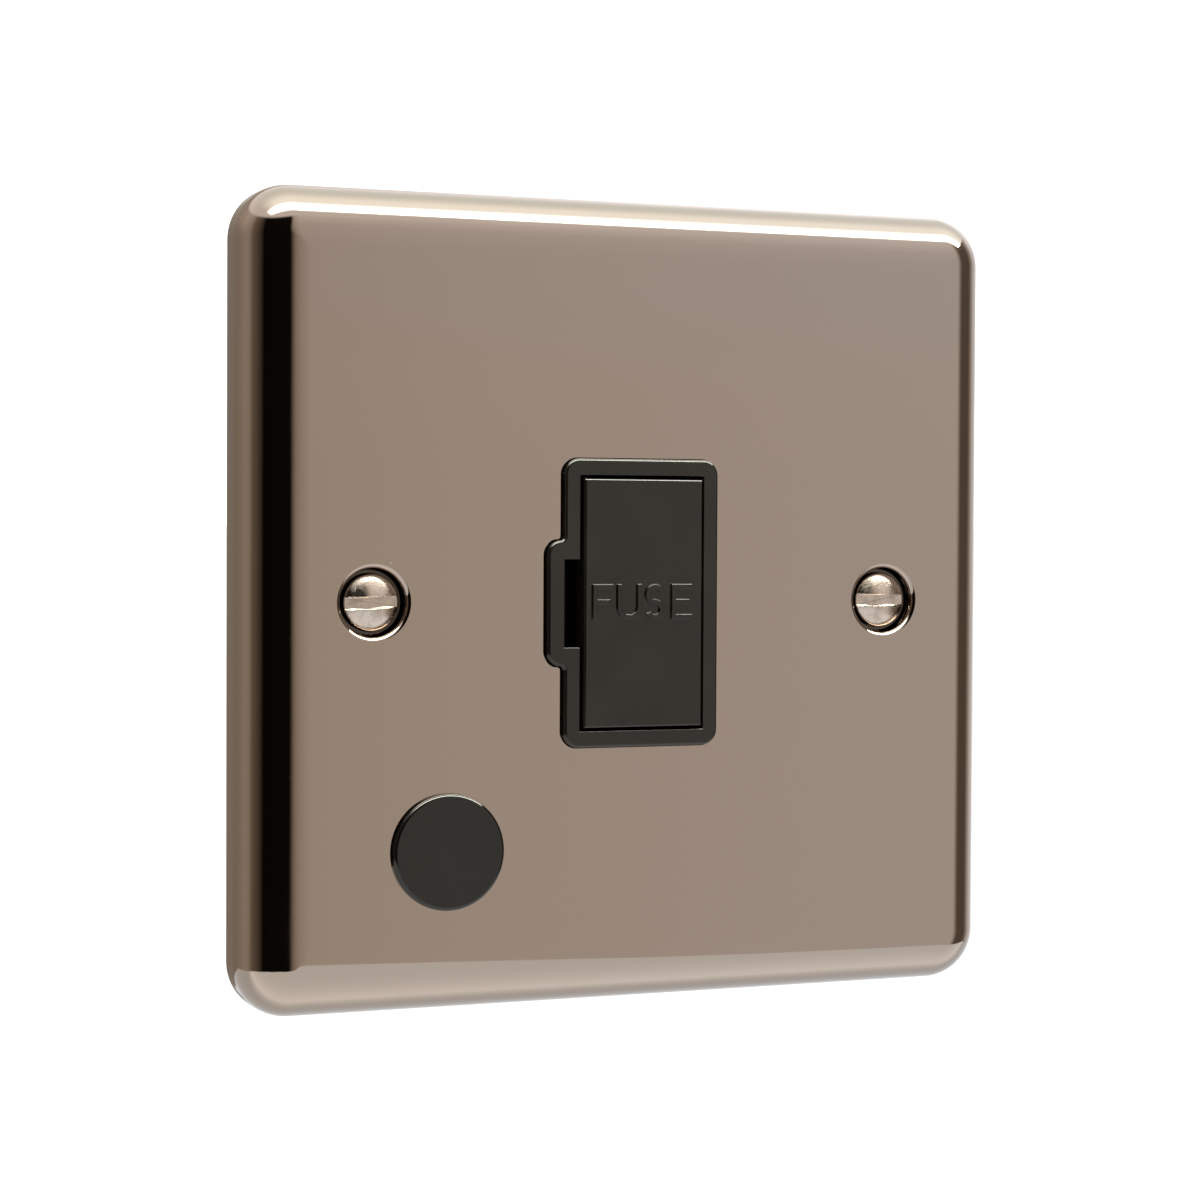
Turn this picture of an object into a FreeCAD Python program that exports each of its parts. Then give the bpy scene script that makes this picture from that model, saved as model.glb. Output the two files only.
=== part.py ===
import FreeCAD, Part
import math
import os
import Sketcher

# An unswitched fused spur unit: a pressed metal plate on a moulded base, with a captive fuse carrier.
# +Z is up, +X is to the right seen from the front, and the front faces -Y.
# The origin is the plate's centre on the wall plane, where the plate's rim meets the wall.
# "Out" below means the distance in front of the wall plane, so a point's Y is minus its out.

DIMENSIONS = {
    # Pressed front plate
    "plate_width": 88.0,
    "plate_height": 88.0,
    "plate_depth": 8.0,
    "plate_corner_radius": 5.8,
    "plate_edge_radius": 4.7,
    "sheet_thickness": 1.0,
    "fixing_spacing": 60.3,
    "fixing_hole_radius": 2.1,
    "dimple_radius": 4.15,
    "dimple_overlap": 0.2,
    "outlet_side_inset": 22.1,
    "outlet_bottom_inset": 17.4,
    "outlet_radius": 5.1,
    # Frame round the fuse carrier, part of the base moulding
    "frame_x": 0.13,
    "frame_z": -0.18,
    "frame_width": 18.1,
    "frame_wall": 1.8,
    "frame_proud": 0.85,
    "frame_corner_radius": 1.7,
    "frame_edge_radius": 0.35,
    "bump_reach": 1.95,
    "bump_height": 13.6,
    "bump_corner_radius": 1.6,
    "bump_wall": 1.95,
    "bump_inner_radius": 0.5,
    "notch_height": 9.5,
    "notch_depth": 3.9,
    "aperture_gap": 0.12,
    # Base moulding
    "flange_gap": 0.3,
    "flange_thickness": 3.0,
    "flange_corner_radius": 3.0,
    "body_width": 62.0,
    "body_height": 62.0,
    "body_depth": 16.0,
    "body_wall": 2.0,
    "body_corner_radius": 2.0,
    "lug_room": 4.15,
    "lug_recess_height": 18.0,
    "dimple_room": 0.85,
    "floor_thickness": 1.4,
    "pocket_gap": 0.2,
    "pocket_wall": 1.5,
    "wire_entry_radius": 2.6,
    "post_radius": 2.2,
    # Fuse carrier
    "carrier_side_gap": 0.275,
    "carrier_end_gap": 0.35,
    "carrier_face_shift": 0.08,
    "carrier_proud": 0.3,
    "carrier_thickness": 2.4,
    "carrier_edge_radius": 0.3,
    "carrier_travel": 12.0,
    "leg_thickness": 0.7,
    "leg_width": 8.0,
    "leg_end_gap": 0.6,
    "barb_height": 0.9,
    "barb_length": 1.5,
    "barb_width": 5.0,
    "barb_gap": 0.3,
    "saddle_length": 9.0,
    "saddle_wall": 1.0,
    "saddle_lip": 1.2,
    "word_height": 3.85,
    "word_stroke": 0.55,
    "word_relief": 0.3,
    "word_lift": 0.15,
    "word_shift": -0.13,
    "letter_f_width": 2.43,
    "letter_u_width": 2.89,
    "letter_e_width": 2.5,
    "letter_arm_step": 0.36,
    "letter_gap": 0.44,
    "letter_wide_gap": 0.85,
    "curl_start": 25.0,
    "curl_sweep": 245.0,
    # Cartridge fuse
    "fuse_length": 25.4,
    "fuse_radius": 3.175,
    "fuse_front_gap": 1.0,
    "fuse_end_gap": 0.1,
    "fuse_side_gap": 0.1,
    "cap_length": 5.6,
    "cap_wall": 0.3,
    "tube_bore_radius": 1.8,
    "element_radius": 0.2,
    # Contacts and terminals
    "strip_thickness": 0.6,
    "strip_width": 5.0,
    "jaw_gap": 0.25,
    "jaw_height": 4.6,
    "jaw_overhang": 2.6,
    "block_width": 7.0,
    "block_height": 9.0,
    "block_depth": 7.5,
    "block_out": -3.5,
    "bore_offset": 3.2,
    "earth_web": 0.9,
    "wire_bore_radius": 2.0,
    "thread_radius": 1.75,
    "thread_gap": 0.05,
    "screw_lift": 2.0,
    "screw_head_radius": 2.75,
    "screw_head_height": 2.0,
    "screw_tip_gap": 0.5,
    "driver_slot_width": 1.0,
    "driver_slot_depth": 1.0,
    "driver_gap": 0.4,
    # Rear cover, cord grip and small screws
    "cover_thickness": 1.5,
    "small_screw_radius": 1.2,
    "small_head_radius": 2.4,
    "small_head_height": 1.6,
    "small_screw_length": 8.0,
    "grip_bar_height": 5.0,
    "grip_bar_thickness": 2.5,
    "grip_end_radius": 2.25,
    "grip_post_length": 8.0,
    "grip_margin": 1.2,
    # Blanking plug
    "plug_radius": 6.25,
    "plug_proud": 0.85,
    "plug_edge_radius": 0.45,
    "plug_stem_radius": 4.9,
    "plug_stem_wall": 1.2,
    # Fixing screws
    "fixing_head_radius": 3.0,
    "fixing_dome": 1.0,
    "fixing_land": 0.15,
    "fixing_neck_radius": 1.5,
    "fixing_length": 25.0,
    "fixing_slot_width": 1.25,
    "fixing_slot_depth": 0.9,
    "left_slot_angle": 3.0,
    "right_slot_angle": 0.5,
    # Plate studs, their push-on clips and the earth strap
    "stud_inset": 9.0,
    "stud_radius": 1.5,
    "stud_length": 5.5,
    "stud_gap": 0.2,
    "clip_radius": 3.4,
    "clip_thickness": 0.5,
    "strap_thickness": 0.6,
    "strap_height": 5.0,
    "strap_foot": 5.5,
    "strap_gap": 0.2,
}


class Size:
    """A length with its number and its formula in the words of the sheet."""

    def __init__(self, text, value):
        self.text = text
        self.value = value

    @staticmethod
    def of(other):
        return other if isinstance(other, Size) else Size(f"{float(other)}", float(other))

    def joined(self, sign, other, value):
        return Size(f"({self.text} {sign} {other.text})", value)

    def __add__(self, other):
        other = Size.of(other)
        return self.joined("+", other, self.value + other.value)

    def __sub__(self, other):
        other = Size.of(other)
        return self.joined("-", other, self.value - other.value)

    def __mul__(self, other):
        other = Size.of(other)
        return self.joined("*", other, self.value * other.value)

    def __truediv__(self, other):
        other = Size.of(other)
        return self.joined("/", other, self.value / other.value)

    def __neg__(self):
        return Size("0", 0.0) - self


class Sheet:
    """The spreadsheet of driving dimensions, read as attributes."""

    def __init__(self, document, dimensions):
        self.cells = document.addObject("Spreadsheet::Sheet", "Sizes")
        for row, (name, value) in enumerate(dimensions.items(), start=1):
            self.cells.set(f"A{row}", name)
            self.cells.set(f"B{row}", str(value))
            self.cells.setAlias(f"B{row}", name)
        document.recompute()

    def __getattr__(self, name):
        return Size(f"Sizes.{name}", float(getattr(self.cells, name)))


DOCUMENT = FreeCAD.newDocument("fused_spur_unit")
S = Sheet(DOCUMENT, DIMENSIONS)
ZERO = Size("0", 0.0)
OUTWARD = FreeCAD.Vector(0, -1, 0)
UPWARD = FreeCAD.Rotation()
TURNED_OUTWARD = FreeCAD.Rotation(FreeCAD.Vector(1, 0, 0), 90)
SAME_PLACE = 0.01

# Levels in front of the wall plane (negative behind it)
PLATE_FRONT = S.plate_depth
PLATE_BACK = S.plate_depth - S.sheet_thickness
FLANGE_BACK = PLATE_BACK - S.flange_thickness
FRAME_FRONT = PLATE_FRONT + S.frame_proud
CARRIER_FRONT = FRAME_FRONT + S.carrier_proud
CARRIER_BACK = CARRIER_FRONT - S.carrier_thickness
FUSE_OUT = CARRIER_BACK - S.fuse_front_gap - S.fuse_radius
DECK = S.block_out - S.block_depth
CHANNEL_FLOOR = DECK + S.floor_thickness
STRIP_BACK = DECK - S.strip_thickness
BODY_BACK = -S.body_depth
COVER_BACK = BODY_BACK - S.cover_thickness
BORE_OUT = S.block_out - S.bore_offset
LEG_END = CHANNEL_FLOOR + S.leg_end_gap

# Outlines in the plate's plane
CARRIER_HEIGHT = S.fuse_length + (S.fuse_end_gap + S.leg_thickness) * 2
CHANNEL_HEIGHT = CARRIER_HEIGHT + S.carrier_end_gap * 2
CHANNEL_WIDTH = S.frame_width - S.frame_wall * 2
CARRIER_WIDTH = CHANNEL_WIDTH - S.carrier_side_gap * 2
FRAME_HEIGHT = CHANNEL_HEIGHT + S.frame_wall * 2
FRAME_LEFT = S.frame_x - S.frame_width / 2
BUMP_LEFT = FRAME_LEFT - S.bump_reach
FIXING_X = S.fixing_spacing / 2
OUTLET = (S.outlet_side_inset - S.plate_width / 2, S.outlet_bottom_inset - S.plate_height / 2)
FLANGE_WIDTH = S.plate_width - (S.plate_edge_radius + S.flange_gap) * 2
FLANGE_HEIGHT = S.plate_height - (S.plate_edge_radius + S.flange_gap) * 2
RECESS_X = FIXING_X - S.lug_room
TERMINAL_X = RECESS_X - S.body_wall - S.block_width / 2
TERMINAL_Z = S.body_height / 2 - S.body_wall - S.pocket_gap - S.block_height / 2
EARTH_PITCH = S.block_width + S.earth_web
EARTH_WIDTH = EARTH_PITCH + S.block_width
EARTH_EDGE = EARTH_WIDTH / 2 + S.pocket_gap + S.pocket_wall
TERMINAL_EDGE = TERMINAL_X - S.block_width / 2 - S.pocket_gap - S.pocket_wall
LOAD_EDGE = S.frame_x + S.block_width / 2 + S.pocket_gap + S.pocket_wall
BODY_CUT_X = FRAME_LEFT - S.body_wall - S.pocket_gap
CAP_Z = S.fuse_length / 2 - S.cap_length / 2
JAW_HALF = S.fuse_radius + S.jaw_gap + S.strip_thickness

# Places of the small screws' posts, (across, up)
COVER_POSTS = [
    (-(TERMINAL_EDGE + EARTH_EDGE) / 2, TERMINAL_Z),
    ((TERMINAL_EDGE + LOAD_EDGE) / 2, -TERMINAL_Z),
]
GRIP_Z = -(S.lug_recess_height / 2 + S.body_wall + S.grip_bar_height / 2 + S.pocket_gap)
GRIP_POSTS = [
    (-(S.body_width / 2 - S.body_wall - S.post_radius - S.pocket_gap), GRIP_Z),
    (BODY_CUT_X - S.post_radius - S.grip_margin, GRIP_Z),
]

# Each terminal screw's place: name, across, up
TERMINAL_SCREWS = [
    ("live_in_screw", -TERMINAL_X, TERMINAL_Z),
    ("neutral_in_screw", TERMINAL_X, TERMINAL_Z),
    ("live_out_screw", S.frame_x, -TERMINAL_Z),
    ("neutral_out_screw", TERMINAL_X, -TERMINAL_Z),
    ("earth_in_screw", -EARTH_PITCH / 2, TERMINAL_Z),
    ("earth_out_screw", EARTH_PITCH / 2, TERMINAL_Z),
]


def bind(thing, prop, size):
    """Tie a property to the sheet."""
    thing.setExpression(prop, Size.of(size).text)


# Sketches

def sketch_on(body, role, name, lift=ZERO, shift=(ZERO, ZERO)):
    """A sketch on one of the body's own origin planes, lifted along the plane's normal."""
    sketch = body.newObject("Sketcher::SketchObject", name)
    plane = next(feature for feature in body.Origin.OriginFeatures if feature.Role == role)
    sketch.AttachmentSupport = (plane, [""])
    sketch.MapMode = "FlatFace"
    bind(sketch, "AttachmentOffset.Base.x", shift[0])
    bind(sketch, "AttachmentOffset.Base.y", shift[1])
    bind(sketch, "AttachmentOffset.Base.z", lift)
    return sketch


def pin(sketch, element, point, across, up):
    """Fix a sketch point by its two distances from the sketch's origin."""
    for kind, size in (("DistanceX", across), ("DistanceY", up)):
        index = sketch.addConstraint(Sketcher.Constraint(kind, -1, 1, element, point, size.value))
        sketch.setExpression(f"Constraints[{index}]", size.text)


def polygon(sketch, corners):
    """A closed outline of straight lines through the corners, each an (across, up) pair."""
    first = sketch.GeometryCount
    points = [FreeCAD.Vector(across.value, up.value, 0) for across, up in corners]
    for start, end in zip(points, points[1:] + points[:1]):
        sketch.addGeometry(Part.LineSegment(start, end))
    for number in range(len(points)):
        following = first + (number + 1) % len(points)
        sketch.addConstraint(Sketcher.Constraint("Coincident", first + number, 2, following, 1))
    for number, (across, up) in enumerate(corners):
        pin(sketch, first + number, 1, across, up)


def rectangle(sketch, centre, width, height):
    """A rectangle about a centre (across, up)."""
    left = centre[0] - width / 2
    right = centre[0] + width / 2
    low = centre[1] - height / 2
    high = centre[1] + height / 2
    polygon(sketch, [(left, low), (right, low), (right, high), (left, high)])


def circle(sketch, centre, radius):
    """A circle about a centre (across, up)."""
    middle = FreeCAD.Vector(centre[0].value, centre[1].value, 0)
    element = sketch.addGeometry(Part.Circle(middle, FreeCAD.Vector(0, 0, 1), radius.value))
    index = sketch.addConstraint(Sketcher.Constraint("Radius", element, radius.value))
    sketch.setExpression(f"Constraints[{index}]", radius.text)
    pin(sketch, element, 3, centre[0], centre[1])


# Features of a body

def new_body(name):
    """A body whose label names its file."""
    body = DOCUMENT.addObject("PartDesign::Body", name)
    body.Label = name
    return body


def feature_of(body, kind, name, sketch):
    feature = body.newObject(f"PartDesign::{kind}", name)
    feature.Profile = sketch
    return feature


def slab(body, name, draw, rear, front):
    """Material from the level rear to the level front, in the outline that draw makes."""
    sketch = sketch_on(body, "XZ_Plane", f"{name}_outline", rear)
    draw(sketch)
    feature = feature_of(body, "Pad", name, sketch)
    bind(feature, "Length", front - rear)
    return feature


def recess(body, name, draw, front, rear):
    """A cut from the level front back to the level rear."""
    sketch = sketch_on(body, "XZ_Plane", f"{name}_outline", front)
    draw(sketch)
    feature = feature_of(body, "Pocket", name, sketch)
    bind(feature, "Length", front - rear)
    return feature


def turned(body, kind, name, centre, corners):
    """A turned feature about the out-going axis at the centre; corners are (radius, out) pairs."""
    sketch = sketch_on(body, "XY_Plane", f"{name}_section", centre[1], (centre[0], ZERO))
    polygon(sketch, [(radius, -out) for radius, out in corners])
    feature = feature_of(body, kind, name, sketch)
    feature.ReferenceAxis = (sketch, ["V_Axis"])
    feature.Angle = 360.0
    return feature


def rounded(body, name, radius, test):
    """A fillet on the edges of the body's last feature that pass the test."""
    DOCUMENT.recompute()
    base = body.Tip
    edges = enumerate(base.Shape.Edges, start=1)
    chosen = [f"Edge{number}" for number, edge in edges if test(edge)]
    feature = body.newObject("PartDesign::Fillet", name)
    feature.Base = (base, chosen)
    bind(feature, "Radius", radius)
    return feature


def hollow(body, name, wall, level):
    """The body left open at a level, with one wall all round."""
    DOCUMENT.recompute()
    base = body.Tip
    faces = enumerate(base.Shape.Faces, start=1)
    chosen = [f"Face{number}" for number, face in faces if at_level(face, level)]
    feature = body.newObject("PartDesign::Thickness", name)
    feature.Base = (base, chosen)
    feature.Reversed = True
    bind(feature, "Value", wall)
    return feature


def near(one, other):
    """True for two numbers that mean the same place."""
    return abs(one - other) < SAME_PLACE


def upright(edge, corners):
    """True for an edge along Y at one of the corners."""
    ends = [vertex.Point for vertex in edge.Vertexes]
    if len(ends) != 2 or not near(ends[0].x, ends[1].x) or not near(ends[0].z, ends[1].z):
        return False
    return any(near(ends[0].x, across.value) and near(ends[0].z, up.value) for across, up in corners)


def at_level(element, out):
    """True for an edge or a face that lies in the level out."""
    box = element.BoundBox
    return near(box.YMin, -out.value) and near(box.YMax, -out.value)


# Primitives and booleans

def placed(thing, x, y, z, rotation=UPWARD):
    """Turn a primitive and bind its place."""
    thing.Placement.Rotation = rotation
    bind(thing, "Placement.Base.x", x)
    bind(thing, "Placement.Base.y", y)
    bind(thing, "Placement.Base.z", z)
    return thing


def block(name, across, out, up):
    """A box from the low to the high value of each pair: across, out and up."""
    thing = DOCUMENT.addObject("Part::Box", name)
    bind(thing, "Length", across[1] - across[0])
    bind(thing, "Width", out[1] - out[0])
    bind(thing, "Height", up[1] - up[0])
    return placed(thing, across[0], -out[1], up[0])


def rod(name, radius, out, centre):
    """A cylinder along Y between two levels, about a centre (across, up)."""
    thing = DOCUMENT.addObject("Part::Cylinder", name)
    bind(thing, "Radius", radius)
    bind(thing, "Height", out[1] - out[0])
    return placed(thing, centre[0], -out[0], centre[1], TURNED_OUTWARD)


def upright_rod(name, radius, up, across, out):
    """A cylinder along Z between two heights."""
    thing = DOCUMENT.addObject("Part::Cylinder", name)
    bind(thing, "Radius", radius)
    bind(thing, "Height", up[1] - up[0])
    return placed(thing, across, -out, up[0])


def fused(name, things):
    """One shape from several; pieces that do not touch stay separate solids."""
    thing = DOCUMENT.addObject("Part::MultiFuse", name)
    thing.Shapes = things
    thing.Label = name
    return thing


def cut(name, base, tools):
    """The base less the tools."""
    thing = DOCUMENT.addObject("Part::Cut", name)
    thing.Base = base
    thing.Tool = tools[0] if len(tools) == 1 else fused(f"{name}_tools", tools)
    thing.Label = name
    return thing


# Outlines used by more than one piece

def frame_corners(grow):
    """The frame's outline with its side bump, grown by a gap."""
    left = FRAME_LEFT - grow
    right = S.frame_x + S.frame_width / 2 + grow
    low = S.frame_z - FRAME_HEIGHT / 2 - grow
    high = S.frame_z + FRAME_HEIGHT / 2 + grow
    bump = BUMP_LEFT - grow
    bump_low = S.frame_z - S.bump_height / 2 - grow
    bump_high = S.frame_z + S.bump_height / 2 + grow
    return [(left, low), (right, low), (right, high), (left, high),
            (left, bump_high), (bump, bump_high), (bump, bump_low), (left, bump_low)]


def round_frame_corners(body, name, grow):
    """Round the corners of the frame's outline: its own, the bump's, and the two inner ones."""
    corners = frame_corners(grow)
    groups = [("outer", corners[:4], S.frame_corner_radius + grow),
              ("bump", corners[5:7], S.bump_corner_radius + grow),
              ("inner", [corners[4], corners[7]], S.bump_inner_radius)]
    for label, places, radius in groups:
        rounded(body, f"{name}_{label}", radius, lambda edge, places=places: upright(edge, places))


def body_corners(inset):
    """The outline of the base behind the wall plane, with room for the box's lugs and for the flex."""
    wide = S.body_width / 2 - inset
    tall = S.body_height / 2 - inset
    waist = RECESS_X - inset
    lug = S.lug_recess_height / 2 + inset
    lug_low = -S.lug_recess_height / 2 + inset
    cut_x = BODY_CUT_X + inset
    return [(-wide, tall), (wide, tall), (wide, lug), (waist, lug), (waist, -lug), (wide, -lug),
            (wide, -tall), (cut_x, -tall), (cut_x, lug_low), (-waist, lug_low), (-waist, lug), (-wide, lug)]


def both_fixings(draw):
    """Call draw at the left and the right fixing centre."""
    for side in (-FIXING_X, FIXING_X):
        draw((side, ZERO))


# Front plate

def front_plate():
    """Pressed sheet with rolled edges, dimples for the fixing screws, the aperture and the outlet hole."""
    body = new_body("front_plate")
    centre = (ZERO, ZERO)
    slab(body, "plate_blank", lambda sk: rectangle(sk, centre, S.plate_width, S.plate_height),
         ZERO, PLATE_FRONT)
    corners = [(S.plate_width / 2 * side, S.plate_height / 2 * rise) for side in (-1, 1) for rise in (-1, 1)]
    rounded(body, "plate_corners", S.plate_corner_radius, lambda edge: upright(edge, corners))
    rounded(body, "plate_edges", S.plate_edge_radius, lambda edge: at_level(edge, PLATE_FRONT))
    hollow(body, "plate_hollow", S.sheet_thickness, ZERO)
    dimple_depth = S.dimple_radius - S.fixing_hole_radius
    dimple_wall = S.sheet_thickness * math.sqrt(2)
    hole_rear = PLATE_FRONT - dimple_depth - dimple_wall
    cone_front = PLATE_BACK + S.dimple_overlap
    cone_reach = S.fixing_hole_radius + (cone_front - hole_rear)
    sink_rear = hole_rear - S.dimple_overlap
    sink_front = PLATE_FRONT + S.dimple_overlap
    dimples = [
        turned(body, "Revolution", "dimple_cone", (FIXING_X, ZERO),
               [(ZERO, hole_rear), (S.fixing_hole_radius, hole_rear), (cone_reach, cone_front),
                (ZERO, cone_front)]),
        turned(body, "Groove", "dimple_sink", (FIXING_X, ZERO),
               [(ZERO, sink_rear), (S.fixing_hole_radius, sink_rear),
                (S.fixing_hole_radius, PLATE_FRONT - dimple_depth),
                (S.dimple_radius + S.dimple_overlap, sink_front), (ZERO, sink_front)]),
    ]
    other_side = body.newObject("PartDesign::Mirrored", "dimples_left")
    other_side.Originals = dimples
    plane = next(feature for feature in body.Origin.OriginFeatures if feature.Role == "YZ_Plane")
    other_side.MirrorPlane = (plane, [""])
    body.Tip = other_side
    recess(body, "aperture", lambda sk: polygon(sk, frame_corners(S.aperture_gap)), PLATE_FRONT, FLANGE_BACK)
    round_frame_corners(body, "aperture", S.aperture_gap)
    recess(body, "outlet_hole", lambda sk: circle(sk, OUTLET, S.outlet_radius),
           PLATE_FRONT, FLANGE_BACK)
    return body


# Base moulding

def pocket_places():
    """Each terminal pocket: centre and the width of its block."""
    return [
        ((-TERMINAL_X, TERMINAL_Z), S.block_width),
        ((ZERO, TERMINAL_Z), EARTH_WIDTH),
        ((TERMINAL_X, TERMINAL_Z), S.block_width),
        ((S.frame_x, -TERMINAL_Z), S.block_width),
        ((TERMINAL_X, -TERMINAL_Z), S.block_width),
    ]


def draw_pockets(sketch, wall):
    """The terminal pockets' outlines, grown by a wall where wanted."""
    margin = (S.pocket_gap + wall) * 2
    for centre, width in pocket_places():
        rectangle(sketch, centre, width + margin, S.block_height + margin)


def draw_posts(sketch, posts, radius):
    for centre in posts:
        circle(sketch, centre, radius)


def stud_places():
    """The four plate studs' centres."""
    across = S.plate_width / 2 - S.stud_inset
    up = S.plate_height / 2 - S.stud_inset
    return [(across * side, up * rise) for side in (-1, 1) for rise in (-1, 1)]


def strap_levels():
    """The earth strap's leg across, its height and its foot's end across."""
    leg = EARTH_EDGE + S.strap_gap
    return leg, leg + S.strap_thickness, leg + S.strap_foot


def draw_strap_window(sketch, left, right):
    """Room for the earth strap between two places across."""
    rectangle(sketch, ((left + right) / 2, TERMINAL_Z), right - left + S.strap_gap * 2,
              S.strap_height + S.strap_gap * 2)


def draw_forks(sketch):
    """The two windows that the fuse contacts' forks pass."""
    for side in (-1, 1):
        rectangle(sketch, (S.frame_x, S.frame_z + CAP_Z * side), (JAW_HALF + S.pocket_gap) * 2,
                  S.jaw_height + S.pocket_gap * 2)


def draw_barb_slots(sketch, width, reach):
    """Slots above and below the channel, joined to it."""
    inner = CHANNEL_HEIGHT / 2 - S.barb_gap
    for side in (-1, 1):
        middle = S.frame_z + (inner + reach) / 2 * side
        rectangle(sketch, (S.frame_x, middle), width, reach - inner)


def wire_entries(body, name, places, side):
    """Holes through the top or the bottom wall, in line with the terminals' bores."""
    wall = S.body_height / 2 * side
    sketch = sketch_on(body, "XY_Plane", f"{name}_outline", wall)
    for across in places:
        circle(sketch, (across, -BORE_OUT), S.wire_entry_radius)
    feature = feature_of(body, "Pocket", name, sketch)
    feature.Reversed = side < 0
    bind(feature, "Length", S.body_wall + S.pocket_gap)


def housing():
    """The black base moulding: flange, frame, carrier channel, walls, terminal pockets and posts."""
    body = new_body("housing")
    centre = (ZERO, ZERO)
    carrier_centre = (S.frame_x, S.frame_z)
    slab(body, "flange", lambda sk: rectangle(sk, centre, FLANGE_WIDTH, FLANGE_HEIGHT),
         FLANGE_BACK, PLATE_BACK)
    corners = [(FLANGE_WIDTH / 2 * side, FLANGE_HEIGHT / 2 * rise) for side in (-1, 1) for rise in (-1, 1)]
    rounded(body, "flange_corners", S.flange_corner_radius, lambda edge: upright(edge, corners))
    slab(body, "frame", lambda sk: polygon(sk, frame_corners(ZERO)), FLANGE_BACK, FRAME_FRONT)
    round_frame_corners(body, "frame", ZERO)
    rounded(body, "frame_edge", S.frame_edge_radius, lambda edge: at_level(edge, FRAME_FRONT))
    slab(body, "rear_walls", lambda sk: polygon(sk, body_corners(ZERO)), BODY_BACK, FLANGE_BACK)
    places = body_corners(ZERO)
    rounded(body, "rear_corners", S.body_corner_radius,
            lambda edge: upright(edge, [places[0], places[1], places[6]]))
    recess(body, "rear_hollow", lambda sk: polygon(sk, body_corners(S.body_wall)), FLANGE_BACK, BODY_BACK)
    slab(body, "channel_walls", lambda sk: rectangle(sk, carrier_centre, S.frame_width, FRAME_HEIGHT),
         DECK, FLANGE_BACK)
    slab(body, "pocket_walls", lambda sk: draw_pockets(sk, S.pocket_wall), DECK, FLANGE_BACK)
    slab(body, "cover_posts", lambda sk: draw_posts(sk, COVER_POSTS, S.post_radius), BODY_BACK, FLANGE_BACK)
    slab(body, "grip_posts", lambda sk: draw_posts(sk, GRIP_POSTS, S.post_radius),
         FLANGE_BACK - S.grip_post_length, FLANGE_BACK)
    recess(body, "pockets", lambda sk: draw_pockets(sk, ZERO), S.block_out, BODY_BACK)
    wire_entries(body, "top_entries", [-TERMINAL_X, -EARTH_PITCH / 2, EARTH_PITCH / 2, TERMINAL_X], 1)
    wire_entries(body, "bottom_entries", [S.frame_x, TERMINAL_X], -1)
    recess(body, "channel", lambda sk: rectangle(sk, carrier_centre, CHANNEL_WIDTH, CHANNEL_HEIGHT),
           FRAME_FRONT, CHANNEL_FLOOR)
    notch_left = BUMP_LEFT + S.bump_wall
    notch_right = S.frame_x - CHANNEL_WIDTH / 2 + S.carrier_side_gap
    notch_low = S.frame_z - S.notch_height / 2
    notch_high = S.frame_z + S.notch_height / 2
    recess(body, "notch", lambda sk: polygon(sk, [(notch_left, notch_low), (notch_right, notch_low),
                                                  (notch_right, notch_high), (notch_left, notch_high)]),
           FRAME_FRONT, FRAME_FRONT - S.notch_depth)
    recess(body, "fork_windows", draw_forks, CHANNEL_FLOOR, DECK)
    slot_reach = CARRIER_HEIGHT / 2 + S.barb_height + S.barb_gap
    slot_front = LEG_END + S.barb_length + S.carrier_travel + S.barb_gap
    slot_width = S.barb_width + S.barb_gap * 2
    recess(body, "barb_slots", lambda sk: draw_barb_slots(sk, slot_width, slot_reach),
           slot_front, CHANNEL_FLOOR)
    recess(body, "dimple_rooms",
           lambda sk: both_fixings(lambda place: circle(sk, place, S.dimple_radius + S.dimple_room)),
           PLATE_BACK, FLANGE_BACK)
    recess(body, "outlet", lambda sk: circle(sk, OUTLET, S.outlet_radius),
           PLATE_BACK, FLANGE_BACK)
    recess(body, "stud_holes", lambda sk: draw_posts(sk, stud_places(), S.stud_radius + S.stud_gap),
           PLATE_BACK, FLANGE_BACK)
    leg_left, leg_right, foot_end = strap_levels()
    recess(body, "strap_slot", lambda sk: draw_strap_window(sk, leg_left, leg_right), PLATE_BACK, FLANGE_BACK)
    recess(body, "strap_bed", lambda sk: draw_strap_window(sk, leg_left, foot_end),
           PLATE_BACK, PLATE_BACK - S.strap_thickness - S.strap_gap)
    hole = S.small_screw_radius
    cover_depth = BODY_BACK + S.small_screw_length
    recess(body, "cover_screw_holes", lambda sk: draw_posts(sk, COVER_POSTS, hole), cover_depth, BODY_BACK)
    grip_back = FLANGE_BACK - S.grip_post_length
    recess(body, "grip_screw_holes", lambda sk: draw_posts(sk, GRIP_POSTS, hole),
           grip_back + S.small_screw_length - S.grip_bar_thickness, grip_back)
    return body


# Fuse carrier

def arc_stroke(centre, radius, stroke, start, sweep, depth):
    """A raised stroke along an arc about a centre: start and sweep in degrees, seen from the front."""

    def at(distance, share):
        angle = math.radians(start + sweep * share)
        return centre.add(FreeCAD.Vector(math.cos(angle), 0, math.sin(angle)) * distance)

    outer = radius + stroke / 2
    inner = radius - stroke / 2
    edges = [Part.Arc(at(outer, 0), at(outer, 0.5), at(outer, 1)).toShape(),
             Part.makeLine(at(outer, 1), at(inner, 1)),
             Part.Arc(at(inner, 1), at(inner, 0.5), at(inner, 0)).toShape(),
             Part.makeLine(at(inner, 0), at(outer, 0))]
    return Part.Face(Part.Wire(edges)).extrude(OUTWARD * depth)


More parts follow.
